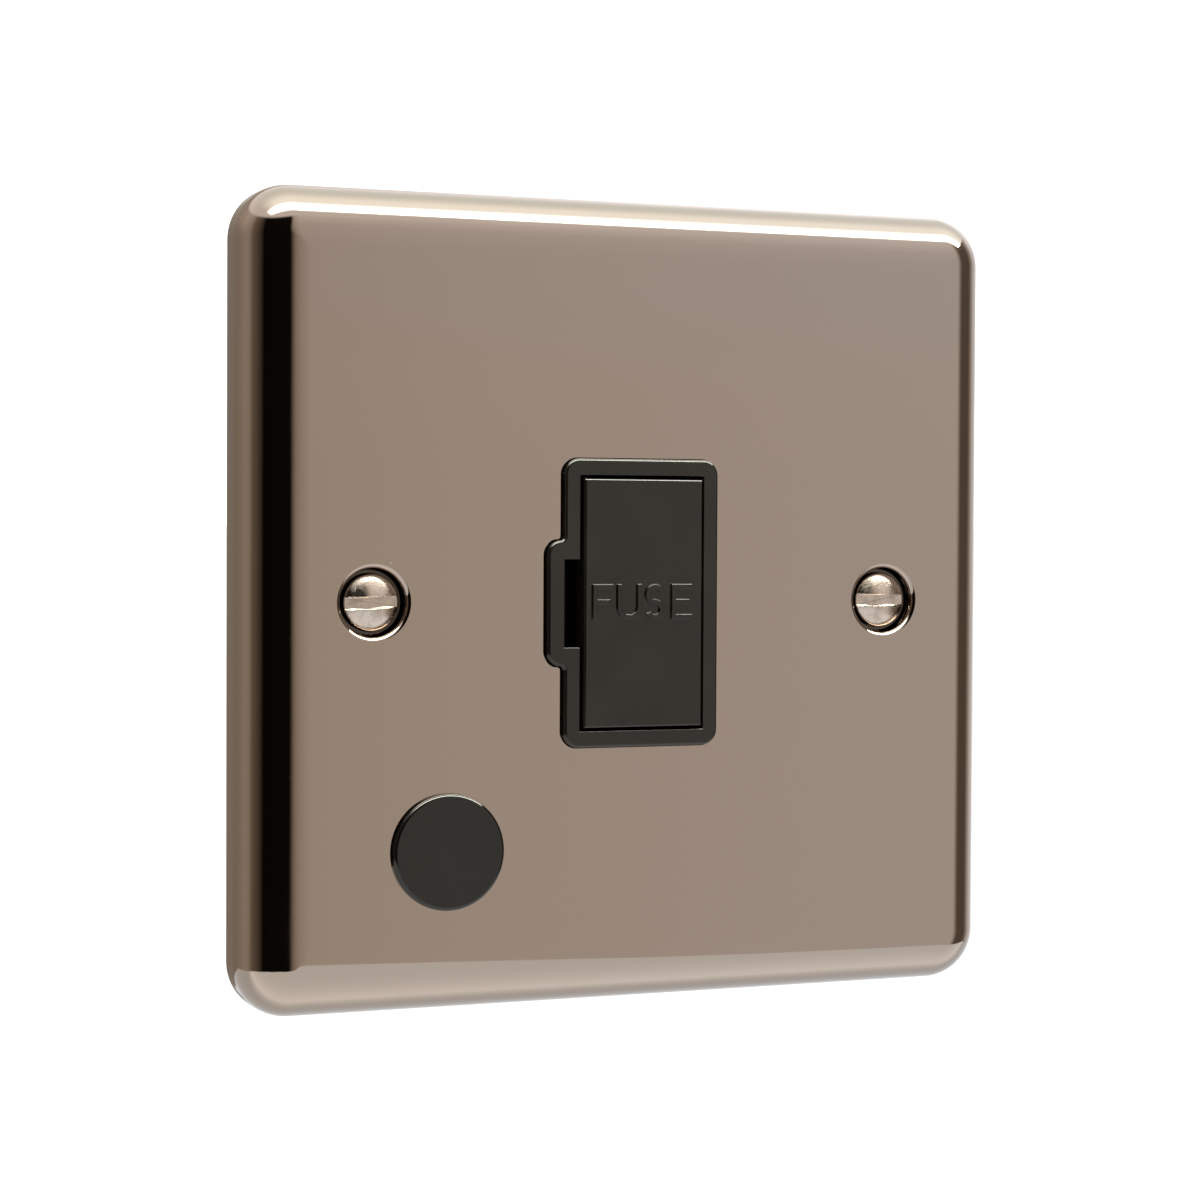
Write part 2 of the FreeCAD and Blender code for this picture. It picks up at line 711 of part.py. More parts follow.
def word_shape():
    """The plain word FUSE in raised strokes of one width, in the sheet's sizes."""
    high = S.word_height.value
    stroke = S.word_stroke.value
    relief = S.word_relief.value
    depth = relief * 2
    face = -CARRIER_FRONT.value + relief
    bottom = S.frame_z.value + S.word_lift.value - high / 2
    start = S.curl_start.value
    sweep = S.curl_sweep.value
    curl = (high - stroke) / 4

    def bar(x0, z0, x1, z1):
        return Part.makeBox(x1 - x0, depth, z1 - z0, FreeCAD.Vector(x0, face - depth, z0))

    def letter_f(x, wide):
        arm = bottom + high / 2
        return [bar(x, bottom, x + stroke, bottom + high),
                bar(x, bottom + high - stroke, x + wide, bottom + high),
                bar(x, arm - stroke / 2, x + wide - S.letter_arm_step.value, arm + stroke / 2)]

    def letter_e(x, wide):
        return letter_f(x, wide) + [bar(x, bottom, x + wide, bottom + stroke)]

    def letter_u(x, wide):
        centre = FreeCAD.Vector(x + wide / 2, face, bottom + wide / 2)
        return [bar(x, centre.z, x + stroke, bottom + high),
                bar(x + wide - stroke, centre.z, x + wide, bottom + high),
                arc_stroke(centre, (wide - stroke) / 2, stroke, 180, 180, depth)]

    def letter_s(x, wide):
        upper = FreeCAD.Vector(x + wide / 2, face, bottom + high - stroke / 2 - curl)
        lower = FreeCAD.Vector(x + wide / 2, face, bottom + stroke / 2 + curl)
        return [arc_stroke(upper, curl, stroke, start, sweep, depth),
                arc_stroke(lower, curl, stroke, start + 180, sweep, depth)]

    letters = [(letter_f, S.letter_f_width.value, S.letter_gap.value),
               (letter_u, S.letter_u_width.value, S.letter_gap.value),
               (letter_s, curl * 2 + stroke, S.letter_wide_gap.value),
               (letter_e, S.letter_e_width.value, 0)]
    middle = S.frame_x.value + S.word_shift.value
    place = middle - sum(wide + gap for _, wide, gap in letters) / 2
    pieces = []
    for make, wide, gap in letters:
        strokes = make(place, wide)
        pieces.append(strokes[0].multiFuse(strokes[1:]).removeSplitter())
        place += wide + gap
    return Part.makeCompound(pieces)


def draw_legs(sketch):
    """The carrier's two thin legs, past the fuse's ends."""
    middle = (CARRIER_HEIGHT - S.leg_thickness) / 2
    for side in (-1, 1):
        rectangle(sketch, (S.frame_x, S.frame_z + middle * side), S.leg_width, S.leg_thickness)


def draw_barbs(sketch):
    """The catches on the legs' ends."""
    middle = (CARRIER_HEIGHT + S.barb_height - S.leg_thickness) / 2
    height = S.barb_height + S.leg_thickness
    for side in (-1, 1):
        rectangle(sketch, (S.frame_x, S.frame_z + middle * side), S.barb_width, height)


def fuse_carrier():
    """The drawer: a face with the raised word, a saddle that grips the fuse and two catch legs."""
    body = new_body("carrier_moulding")
    centre = (S.frame_x + S.carrier_face_shift, S.frame_z)
    slab(body, "carrier_face", lambda sk: rectangle(sk, centre, CARRIER_WIDTH, CARRIER_HEIGHT),
         CARRIER_BACK, CARRIER_FRONT)
    rounded(body, "carrier_edges", S.carrier_edge_radius, lambda edge: at_level(edge, CARRIER_FRONT))
    grip_radius = S.fuse_radius + S.fuse_side_gap
    saddle_left = S.frame_x - grip_radius - S.saddle_wall
    saddle_right = S.frame_x + S.saddle_lip
    saddle_rear = FUSE_OUT - grip_radius - S.saddle_wall
    slab(body, "saddle", lambda sk: rectangle(sk, ((saddle_left + saddle_right) / 2, S.frame_z),
                                              saddle_right - saddle_left, S.saddle_length),
         saddle_rear, CARRIER_BACK)
    slab(body, "legs", draw_legs, LEG_END, CARRIER_BACK)
    slab(body, "barbs", draw_barbs, LEG_END, LEG_END + S.barb_length)
    sketch = sketch_on(body, "XY_Plane", "saddle_bore_outline", S.frame_z + S.saddle_length / 2)
    circle(sketch, (S.frame_x, -FUSE_OUT), grip_radius)
    bore = feature_of(body, "Pocket", "saddle_bore", sketch)
    bind(bore, "Length", S.saddle_length)
    word = DOCUMENT.addObject("Part::Feature", "carrier_word")
    word.Shape = word_shape()
    return fused("fuse_carrier", [body, word])


# Cartridge fuse

def fuse_tube():
    """The fuse's ceramic tube."""
    half = S.fuse_length / 2 - S.cap_wall
    heights = (S.frame_z - half, S.frame_z + half)
    outer = upright_rod("tube_outside", S.fuse_radius - S.cap_wall, heights, S.frame_x, FUSE_OUT)
    bore = upright_rod("tube_bore", S.tube_bore_radius, heights, S.frame_x, FUSE_OUT)
    return cut("fuse_tube", outer, [bore])


def fuse_cap(name, side):
    """A plated cup on one end of the tube."""
    end = S.frame_z + S.fuse_length / 2 * side
    mouth = S.frame_z + (S.fuse_length / 2 - S.cap_length) * side
    seat = S.frame_z + (S.fuse_length / 2 - S.cap_wall) * side
    outside_heights = (mouth, end) if side > 0 else (end, mouth)
    inside_heights = (mouth, seat) if side > 0 else (seat, mouth)
    outside = upright_rod(f"{name}_outside", S.fuse_radius, outside_heights, S.frame_x, FUSE_OUT)
    inside = upright_rod(f"{name}_inside", S.fuse_radius - S.cap_wall, inside_heights, S.frame_x, FUSE_OUT)
    return cut(name, outside, [inside])


def fuse_element():
    """The wire that melts, between the caps."""
    half = S.fuse_length / 2 - S.cap_wall
    heights = (S.frame_z - half, S.frame_z + half)
    wire = upright_rod("fuse_element", S.element_radius, heights, S.frame_x, FUSE_OUT)
    wire.Label = "fuse_element"
    return wire


# Contacts and terminals

def fork(name, side):
    """Two jaws that grip a cap from its sides, and the strip at their root."""
    middle = S.frame_z + CAP_Z * side
    heights = (middle - S.jaw_height / 2, middle + S.jaw_height / 2)
    levels = (STRIP_BACK, FUSE_OUT + S.jaw_overhang)
    gap = S.fuse_radius + S.jaw_gap
    left = block(f"{name}_left_jaw", (S.frame_x - JAW_HALF, S.frame_x - gap), levels, heights)
    right = block(f"{name}_right_jaw", (S.frame_x + gap, S.frame_x + JAW_HALF), levels, heights)
    root = block(f"{name}_root", (S.frame_x - JAW_HALF, S.frame_x + JAW_HALF), (STRIP_BACK, DECK), heights)
    return [left, right, root], heights


def screw_hole(name, across, up):
    """The hole in a strip for a terminal screw."""
    return rod(name, S.thread_radius + S.pocket_gap, (STRIP_BACK, DECK), (across, up))


def strip(name, across, up):
    """A flat strip on the deck level."""
    return block(name, across, (STRIP_BACK, DECK), up)


def supply_contact():
    """From the upper cap to the incoming live terminal."""
    parts, heights = fork("supply", 1)
    half = S.strip_width / 2
    end = TERMINAL_Z + S.block_height / 2 - S.pocket_gap
    parts.append(strip("supply_arm", (-TERMINAL_X - half, S.frame_x), heights))
    parts.append(strip("supply_tail", (-TERMINAL_X - half, -TERMINAL_X + half), (heights[0], end)))
    hole = screw_hole("supply_hole", -TERMINAL_X, TERMINAL_Z)
    return cut("supply_contact", fused("supply_blank", parts), [hole])


def load_contact():
    """From the lower cap to the outgoing live terminal."""
    parts, heights = fork("load", -1)
    half = S.strip_width / 2
    end = -TERMINAL_Z - S.block_height / 2 + S.pocket_gap
    parts.append(strip("load_tail", (S.frame_x - half, S.frame_x + half), (end, heights[1])))
    hole = screw_hole("load_hole", S.frame_x, -TERMINAL_Z)
    return cut("load_contact", fused("load_blank", parts), [hole])


def neutral_link():
    """The strip that joins the two neutral terminals."""
    half = S.strip_width / 2
    end = TERMINAL_Z + S.block_height / 2 - S.pocket_gap
    blank = strip("neutral_blank", (TERMINAL_X - half, TERMINAL_X + half), (-end, end))
    holes = [screw_hole("neutral_top_hole", TERMINAL_X, TERMINAL_Z),
             screw_hole("neutral_low_hole", TERMINAL_X, -TERMINAL_Z)]
    return cut("neutral_link", blank, holes)


def terminal(name, centre, bores):
    """A brass block with a wire bore and a tapped hole from behind for each of its places."""
    half = (bores[-1] - bores[0] + S.block_width) / 2
    heights = (centre[1] - S.block_height / 2, centre[1] + S.block_height / 2)
    blank = block(f"{name}_blank", (centre[0] - half, centre[0] + half), (DECK, S.block_out), heights)
    tools = []
    for number, across in enumerate(bores):
        tools.append(upright_rod(f"{name}_bore_{number}", S.wire_bore_radius, heights, across, BORE_OUT))
        tools.append(rod(f"{name}_thread_{number}", S.thread_radius + S.thread_gap, (DECK, BORE_OUT),
                         (across, centre[1])))
    return cut(name, blank, tools)


def terminals():
    """The live, neutral and earth terminal blocks."""
    singles = [
        ("live_in_terminal", -TERMINAL_X, TERMINAL_Z),
        ("neutral_in_terminal", TERMINAL_X, TERMINAL_Z),
        ("live_out_terminal", S.frame_x, -TERMINAL_Z),
        ("neutral_out_terminal", TERMINAL_X, -TERMINAL_Z),
    ]
    made = [terminal(name, (across, up), [across]) for name, across, up in singles]
    made.append(terminal("earth_terminal", (ZERO, TERMINAL_Z), [-EARTH_PITCH / 2, EARTH_PITCH / 2]))
    return made


def driver_slot(name, centre, level, head_radius):
    """The tool for a straight driver slot in a head whose top lies at the level behind."""
    half = S.driver_slot_width / 2
    across = (centre[0] - head_radius, centre[0] + head_radius)
    return block(name, across, (level, level + S.driver_slot_depth), (centre[1] - half, centre[1] + half))


def terminal_screw(name, across, up):
    """A terminal screw, backed out of the wire bore as it is supplied."""
    centre = (across, up)
    head_front = STRIP_BACK - S.screw_lift
    head_back = head_front - S.screw_head_height
    tip = BORE_OUT - S.wire_bore_radius - S.screw_tip_gap
    shank = rod(f"{name}_shank", S.thread_radius, (head_front, tip), centre)
    head = rod(f"{name}_head", S.screw_head_radius, (head_back, head_front), centre)
    slot = driver_slot(f"{name}_slot", centre, head_back, S.screw_head_radius)
    return cut(name, fused(f"{name}_blank", [shank, head]), [slot])


# Rear cover, cord grip and their screws

def rear_cover():
    """The insulating cover over the live parts, with holes for a driver."""
    body = new_body("rear_cover")
    slab(body, "cover_plate", lambda sk: polygon(sk, body_corners(ZERO)), COVER_BACK, BODY_BACK)
    places = body_corners(ZERO)
    rounded(body, "cover_corners", S.body_corner_radius,
            lambda edge: upright(edge, [places[0], places[1], places[6]]))

    def draw_access(sketch):
        for _, across, up in TERMINAL_SCREWS:
            circle(sketch, (across, up), S.screw_head_radius + S.driver_gap)

    recess(body, "driver_holes", draw_access, BODY_BACK, COVER_BACK)
    recess(body, "cover_holes", lambda sk: draw_posts(sk, COVER_POSTS, S.small_screw_radius + S.pocket_gap),
           BODY_BACK, COVER_BACK)
    return body


def small_screws(name, places, seat):
    """A pair of small screws whose heads sit on the level seat."""
    made = []
    for number, centre in enumerate(places):
        part = f"{name}_{number}"
        head_back = seat - S.small_head_height
        shank = rod(f"{part}_shank", S.small_screw_radius, (seat, seat + S.small_screw_length), centre)
        head = rod(f"{part}_head", S.small_head_radius, (head_back, seat), centre)
        slot = driver_slot(f"{part}_slot", centre, head_back, S.small_head_radius)
        made.append(cut(part, fused(f"{part}_blank", [shank, head]), [slot]))
    return fused(name, made)


def cord_grip_bar():
    """The bar that clamps the flex against the base."""
    body = new_body("cord_grip_bar")
    front = FLANGE_BACK - S.grip_post_length
    rear = front - S.grip_bar_thickness
    half = S.grip_bar_height / 2
    left = GRIP_POSTS[0][0] - half
    right = GRIP_POSTS[1][0] + half
    corners = [(left, GRIP_Z - half), (right, GRIP_Z - half), (right, GRIP_Z + half), (left, GRIP_Z + half)]
    slab(body, "grip_bar", lambda sk: polygon(sk, corners), rear, front)
    rounded(body, "grip_ends", S.grip_end_radius, lambda edge: upright(edge, corners))
    recess(body, "grip_holes", lambda sk: draw_posts(sk, GRIP_POSTS, S.small_screw_radius + S.pocket_gap),
           front, rear)
    return body


# Blanking plug

def blanking_plug():
    """A round push-in blank with a hollow stem, closing the flex outlet."""
    body = new_body("blanking_plug")
    front = PLATE_FRONT + S.plug_proud
    bore = S.plug_stem_radius - S.plug_stem_wall
    turned(body, "Revolution", "plug", OUTLET,
           [(ZERO, PLATE_FRONT), (bore, PLATE_FRONT), (bore, FLANGE_BACK), (S.plug_stem_radius, FLANGE_BACK),
            (S.plug_stem_radius, PLATE_FRONT), (S.plug_radius, PLATE_FRONT), (S.plug_radius, front),
            (ZERO, front)])
    rounded(body, "plug_edge", S.plug_edge_radius, lambda edge: at_level(edge, front))
    return body


# Fixing screws

def domed_section(sketch, corners, top, ball_radius):
    """Straight lines through the (radius, out) corners, closed by an arc that crowns the axis at the top."""
    crown = (ZERO, -top)
    outline = [crown] + [(radius, -out) for radius, out in corners]
    points = [FreeCAD.Vector(across.value, up.value, 0) for across, up in outline]
    for start, end in zip(points[:-1], points[1:]):
        sketch.addGeometry(Part.LineSegment(start, end))
    middle = FreeCAD.Vector(0, ball_radius.value - top.value, 0)
    full = Part.Circle(middle, FreeCAD.Vector(0, 0, 1), ball_radius.value)
    ends = [math.atan2(point.y - middle.y, point.x - middle.x) for point in (points[0], points[-1])]
    arc = sketch.addGeometry(Part.ArcOfCircle(full, ends[0], ends[1]))
    for number in range(len(points) - 2):
        sketch.addConstraint(Sketcher.Constraint("Coincident", number, 2, number + 1, 1))
    sketch.addConstraint(Sketcher.Constraint("Coincident", arc, 1, 0, 1))
    sketch.addConstraint(Sketcher.Constraint("Coincident", arc, 2, len(points) - 2, 2))
    sketch.addConstraint(Sketcher.Constraint("PointOnObject", arc, 3, -2))
    for number, (across, up) in enumerate(outline[:-1]):
        pin(sketch, number, 1, across, up)
    pin(sketch, len(points) - 2, 2, outline[-1][0], outline[-1][1])


def fixing_screw(name, side, angle):
    """A raised countersunk screw in the plate's dimple, its shank standing out behind the wall plane."""
    centre = (FIXING_X * side, ZERO)
    rim = PLATE_FRONT - (S.dimple_radius - S.fixing_head_radius)
    land = rim + S.fixing_land
    top = rim + S.fixing_dome
    rise = S.fixing_dome - S.fixing_land
    ball_radius = (S.fixing_head_radius * S.fixing_head_radius + rise * rise) / (rise * 2)
    neck_top = rim - (S.fixing_head_radius - S.fixing_neck_radius)
    tip = top - S.fixing_length
    body = new_body(name)
    sketch = sketch_on(body, "XY_Plane", f"{name}_section", centre[1], (centre[0], ZERO))
    corners = [(ZERO, tip), (S.thread_radius, tip), (S.thread_radius, ZERO), (S.fixing_neck_radius, ZERO),
               (S.fixing_neck_radius, neck_top), (S.fixing_head_radius, rim), (S.fixing_head_radius, land)]
    domed_section(sketch, corners, top, ball_radius)
    turning = feature_of(body, "Revolution", f"{name}_turning", sketch)
    turning.ReferenceAxis = (sketch, ["V_Axis"])
    turning.Angle = 360.0
    turn = math.radians(angle.value)
    along = (S.fixing_head_radius * math.cos(turn), S.fixing_head_radius * math.sin(turn))
    aside = (S.fixing_slot_width * (-math.sin(turn) / 2), S.fixing_slot_width * (math.cos(turn) / 2))
    slot = [(centre[0] + along[0] * reach + aside[0] * wide, centre[1] + along[1] * reach + aside[1] * wide)
            for reach, wide in ((-1, -1), (1, -1), (1, 1), (-1, 1))]
    recess(body, f"{name}_slot", lambda sk: polygon(sk, slot), top, top - S.fixing_slot_depth)
    return body


# Plate studs, clips and earth strap

def plate_studs():
    """Four studs welded to the plate's back."""
    levels = (PLATE_BACK - S.stud_length, PLATE_BACK)
    return fused("plate_studs", [rod(f"stud_{number}", S.stud_radius, levels, centre)
                                 for number, centre in enumerate(stud_places())])


def stud_clips():
    """Push-on washers that hold the base to the studs."""
    levels = (FLANGE_BACK - S.clip_thickness, FLANGE_BACK)
    made = []
    for number, centre in enumerate(stud_places()):
        disc = rod(f"clip_{number}_disc", S.clip_radius, levels, centre)
        made.append(cut(f"clip_{number}", disc, [rod(f"clip_{number}_hole", S.stud_radius, levels, centre)]))
    return fused("stud_clips", made)


def earth_strap():
    """A folded strip from the earth terminal through the base to the plate's back."""
    leg_left, leg_right, foot_end = strap_levels()
    heights = (TERMINAL_Z - S.strap_height / 2, TERMINAL_Z + S.strap_height / 2)
    deck_back = DECK - S.strap_thickness
    arm = block("strap_arm", (EARTH_PITCH / 2 - S.thread_radius - S.strap_thickness, leg_right),
                (deck_back, DECK), heights)
    leg = block("strap_leg", (leg_left, leg_right), (deck_back, PLATE_BACK), heights)
    foot = block("strap_foot", (leg_left, foot_end), (PLATE_BACK - S.strap_thickness, PLATE_BACK), heights)
    hole = rod("strap_hole", S.thread_radius + S.pocket_gap, (deck_back, DECK), (EARTH_PITCH / 2, TERMINAL_Z))
    return cut("earth_strap", fused("strap_blank", [arm, leg, foot]), [hole])


def build():
    """Every piece of the unit, in the order in which it goes together."""
    pieces = [front_plate(), housing(), fuse_carrier(), fuse_tube()]
    pieces += [fuse_cap("fuse_cap_upper", 1), fuse_cap("fuse_cap_lower", -1), fuse_element()]
    pieces += [supply_contact(), load_contact(), neutral_link()]
    pieces += terminals()
    pieces += [terminal_screw(name, across, up) for name, across, up in TERMINAL_SCREWS]
    pieces += [rear_cover(), small_screws("cover_screws", COVER_POSTS, COVER_BACK)]
    grip_back = FLANGE_BACK - S.grip_post_length - S.grip_bar_thickness
    pieces += [cord_grip_bar(), small_screws("cord_grip_screws", GRIP_POSTS, grip_back)]
    pieces += [blanking_plug()]
    pieces += [fixing_screw("fixing_screw_left", -1, S.left_slot_angle),
               fixing_screw("fixing_screw_right", 1, S.right_slot_angle)]
    pieces += [plate_studs(), stud_clips(), earth_strap()]
    return pieces


def check_and_write(pieces):
    """Stop on a failed object or a bad shape, then write one file for each piece."""
    DOCUMENT.recompute()
    failed = [thing.Name for thing in DOCUMENT.Objects if {"Invalid", "Error"} & set(thing.State)]
    if failed:
        raise RuntimeError(f"failed objects: {failed}")
    for piece in pieces:
        if piece.Shape.isNull() or not piece.Shape.isValid() or not piece.Shape.Solids:
            raise RuntimeError(f"bad shape: {piece.Label}")
    os.makedirs("parts", exist_ok=True)
    for piece in pieces:
        piece.Shape.exportStep(os.path.join("parts", f"{piece.Label}.step"))
        box = piece.Shape.BoundBox
        print(f"{piece.Label}: {len(piece.Shape.Solids)} solid(s), volume {piece.Shape.Volume:.2f}, "
              f"x {box.XMin:.2f} to {box.XMax:.2f}, y {box.YMin:.2f} to {box.YMax:.2f}, "
              f"z {box.ZMin:.2f} to {box.ZMax:.2f}")


check_and_write(build())
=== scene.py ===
import logging
import math
from dataclasses import dataclass, field
from enum import Enum
from typing import Iterable, Union

import bmesh
import bpy
from mathutils import Euler, Matrix, Vector


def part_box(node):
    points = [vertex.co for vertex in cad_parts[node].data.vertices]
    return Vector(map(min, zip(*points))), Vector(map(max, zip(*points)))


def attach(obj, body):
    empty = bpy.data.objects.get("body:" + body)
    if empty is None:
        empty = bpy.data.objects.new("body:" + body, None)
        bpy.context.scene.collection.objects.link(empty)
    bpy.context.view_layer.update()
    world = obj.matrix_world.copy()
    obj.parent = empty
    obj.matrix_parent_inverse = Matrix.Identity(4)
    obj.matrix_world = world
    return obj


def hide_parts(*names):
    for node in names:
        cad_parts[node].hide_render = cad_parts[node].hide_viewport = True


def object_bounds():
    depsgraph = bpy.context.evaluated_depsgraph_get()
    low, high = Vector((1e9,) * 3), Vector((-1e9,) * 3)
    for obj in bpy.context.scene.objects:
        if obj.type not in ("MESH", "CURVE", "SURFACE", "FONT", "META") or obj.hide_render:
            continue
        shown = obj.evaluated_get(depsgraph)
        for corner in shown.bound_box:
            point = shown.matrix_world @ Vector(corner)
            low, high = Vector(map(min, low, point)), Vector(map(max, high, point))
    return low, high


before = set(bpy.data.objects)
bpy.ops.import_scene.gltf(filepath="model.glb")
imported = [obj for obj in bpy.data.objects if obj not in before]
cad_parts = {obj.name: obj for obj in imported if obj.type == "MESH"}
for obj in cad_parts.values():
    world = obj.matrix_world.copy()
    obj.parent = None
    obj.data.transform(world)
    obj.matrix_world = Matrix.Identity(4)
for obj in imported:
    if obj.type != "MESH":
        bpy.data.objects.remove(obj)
CAD_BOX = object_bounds()
LOG = logging.getLogger("fused_spur_unit")
logging.basicConfig(level=logging.INFO, format="%(message)s")

MM = 0.001
# Points this close are one point: in shapes made here, and in the solids' meshes.
MERGE = 0.0005 * MM
SOLID_MERGE = 0.002 * MM
# In degrees: faces that count as one flat face, edges that count as sharp, and edges that stay
# sharp once they are rounded.
FLAT_DEGREES = 0.4
SHARP_DEGREES = 32.0
ROUNDED_DEGREES = 50.0
# The sides of a rounded edge, and of one round a front, whose faces lie this close to its box.
ROUND_STEPS = 2
FRONT_STEPS = 4
FRONT_DEPTH = 0.01 * MM
Number = Union[float, "Value"]
Colour = tuple[float, float, float]
Tone = Union[Colour, "Value"]


class Body(Enum):
    """The two bodies of the unit: what is fixed to the wall and what slides out."""

    BASE = "base"
    CARRIER = "carrier"


class Slot(Enum):
    """Material slot names; some piece groups hold one, but nothing here reads it."""

    PLATE_NICKEL = "plate_nickel"
    BLACK_MOULDING = "black_moulding"
    BLACK_GLOSS = "black_gloss"
    COVER_MOULDING = "cover_moulding"
    SCREW_NICKEL = "screw_nickel"
    BRASS = "brass"
    ZINC_STEEL = "zinc_steel"
    CERAMIC = "ceramic"


# Shader maths


class Value:
    """One socket of a node tree, on which sums can be written."""

    def __init__(self, shader: "Shader", socket: bpy.types.NodeSocket) -> None:
        """Hold a socket and its shader."""
        self.shader = shader
        self.socket = socket

    def _math(self, operation: str, *others: Number, clamp: bool = False) -> "Value":
        """Add a Math node that takes this value first.

        Args:
            operation: the node's operation.
            others: its other inputs.
            clamp: whether the result is held between 0 and 1.

        Returns:
            The result.
        """
        settings = {"operation": operation, "use_clamp": clamp}
        inputs = dict(enumerate((self, *others)))
        return self.shader.node("ShaderNodeMath", settings, inputs)

    def __add__(self, other: Number) -> "Value":
        """Sum."""
        return self._math("ADD", other)

    def __sub__(self, other: Number) -> "Value":
        """Difference."""
        return self._math("SUBTRACT", other)

    def __rsub__(self, other: Number) -> "Value":
        """Difference, from a number."""
        return (self * -1.0) + other

    def __mul__(self, other: Number) -> "Value":
        """Product."""
        return self._math("MULTIPLY", other)

    def __truediv__(self, other: Number) -> "Value":
        """Quotient."""
        return self._math("DIVIDE", other)

    def __pow__(self, other: Number) -> "Value":
        """Power."""
        return self._math("POWER", other)

    def __gt__(self, other: Number) -> "Value":
        """1 where this is greater, and 0 elsewhere."""
        return self._math("GREATER_THAN", other)

    def absolute(self) -> "Value":
        """The value without its sign."""
        return self._math("ABSOLUTE")

    def degrees_over(self, other: "Value") -> "Value":
        """The angle in degrees whose sine and cosine are as this to the other."""
        return self._math("ARCTAN2", other) * math.degrees(1.0)

    def clamped(self) -> "Value":
        """The value held between 0 and 1."""
        return self._math("ADD", 0.0, clamp=True)

    def ramp(self, low: float, high: float) -> "Value":
        """A smooth step from 0 at low to 1 at high.

        Args:
            low: the value that gives 0.
            high: the value that gives 1.

        Returns:
            The stepped value.
        """
        settings = {"interpolation_type": "SMOOTHSTEP"}
        inputs = {"Value": self, "From Min": low, "From Max": high}
        return self.shader.node("ShaderNodeMapRange", settings, inputs, "Result")


class Shader:
    """A node tree and the ways to add nodes to it."""

    def __init__(self, tree: bpy.types.NodeTree) -> None:
        """Empty the tree."""
        self.tree = tree
        tree.nodes.clear()

    def node(self, kind: str, settings: dict | None = None, inputs: dict | None = None,
             output: str | int = 0) -> Value | None:
        """Add one node.

        Args:
            kind: the node's type.
            settings: its properties, set first; "stops" are a ramp's positions and colours.
            inputs: values or links by socket name or number.
            output: the output socket that is returned.

        Returns:
            The output as a value, or None for a node that ends the tree.
        """
        made = self.tree.nodes.new(kind)
        for name, setting in (settings or {}).items():
            if name == "stops":
                self._set_stops(made.color_ramp, setting)
            else:
                setattr(made, name, setting)
        for name, value in (inputs or {}).items():
            socket = made.inputs[name]
            if isinstance(value, Value):
                self.tree.links.new(value.socket, socket)
            else:
                socket.default_value = value
        return Value(self, made.outputs[output]) if made.outputs else None

    @staticmethod
    def _set_stops(ramp: bpy.types.ColorRamp, stops: list[tuple[float, tuple]]) -> None:
        """Give a colour ramp its stops.

        Args:
            ramp: the ramp.
            stops: (position, colour with alpha) pairs, in rising order.
        """
        ready = len(ramp.elements)
        for number, (place, colour) in enumerate(stops):
            element = ramp.elements[number] if number < ready else ramp.elements.new(place)
            element.position = place
            element.color = colour

    def object_place(self) -> Value:
        """The point in the object's own frame, in metres."""
        return self.node("ShaderNodeTexCoord", output="Object")

    def parts_of(self, vector: Value) -> tuple[Value, Value, Value]:
        """The three parts of a vector."""
        split = self.node("ShaderNodeSeparateXYZ", inputs={0: vector}).socket.node
        return tuple(Value(self, socket) for socket in split.outputs)

    def noise(self, place: Value, size: float, detail: float = 4.0,
              roughness: float = 0.5) -> Value:
        """Cloudy noise between 0 and 1; size is that of one cloud in metres."""
        inputs = {"Vector": place, "Scale": 1.0 / size, "Detail": detail, "Roughness": roughness}
        return self.node("ShaderNodeTexNoise", {"noise_dimensions": "3D"}, inputs)

    def stretched(self, place: Value, scale: Colour) -> Value:
        """The coordinates scaled on each axis."""
        inputs = {"Vector": place, "Scale": scale}
        return self.node("ShaderNodeMapping", {"vector_type": "POINT"}, inputs)

    def specks(self, place: Value, spacing: float, radius: float, share: float) -> Value:
        """Small round specks of dust.

        Args:
            place: the coordinates.
            spacing: the mean distance between cells in metres.
            radius: a speck's radius in metres.
            share: the share of cells that hold a speck.

        Returns:
            1 on a speck and 0 elsewhere.
        """
        cells = self.node("ShaderNodeTexVoronoi", {"feature": "F1"},
                          {"Vector": place, "Scale": 1.0 / spacing}, "Distance")
        tint = Value(self, cells.socket.node.outputs["Color"])
        chosen = self.parts_of(tint)[0] > (1.0 - share)
        rim = radius / spacing
        core = 0.4 * rim
        return (1.0 - cells.ramp(core, rim)) * chosen

    def mix(self, share: Number, first: Tone, second: Tone) -> Value:
        """A colour between two.

        Args:
            share: 0 for the first and 1 for the second.
            first: the first colour.
            second: the second colour.

        Returns:
            The mixed colour.
        """
        def full(colour: Tone) -> Value | tuple[float, ...]:
            """A colour with its alpha."""
            return colour if isinstance(colour, Value) else (*colour, 1.0)

        settings = {"data_type": "RGBA", "blend_type": "MIX"}
        inputs = {0: share, 6: full(first), 7: full(second)}
        return self.node("ShaderNodeMix", settings, inputs, 2)

    def bump(self, height: Value, distance: float) -> Value:
        """A normal from a height between 0 and 1 that stands for a distance in metres."""
        inputs = {"Strength": 1.0, "Distance": distance, "Height": height}
        return self.node("ShaderNodeBump", {}, inputs)

    def glow(self, colour: Value, strength: Number, cover: Value) -> None:
        """End the tree in light, clear where the cover is 0.

        Args:
            colour: the light's colour.
            strength: its strength.
            cover: 1 where the light shows and 0 where the piece is clear.
        """
        light = self.node("ShaderNodeEmission", {}, {"Color": colour, "Strength": strength})
        clear = self.node("ShaderNodeBsdfTransparent")
        face = self.node("ShaderNodeMixShader", {}, {0: cover, 1: clear, 2: light})
        self.node("ShaderNodeOutputMaterial", {}, {"Surface": face})

    def surface(self, inputs: dict) -> None:
        """End the tree in a Principled surface with these inputs."""
        shader = self.node("ShaderNodeBsdfPrincipled", {}, inputs)
        self.node("ShaderNodeOutputMaterial", {}, {"Surface": shader})


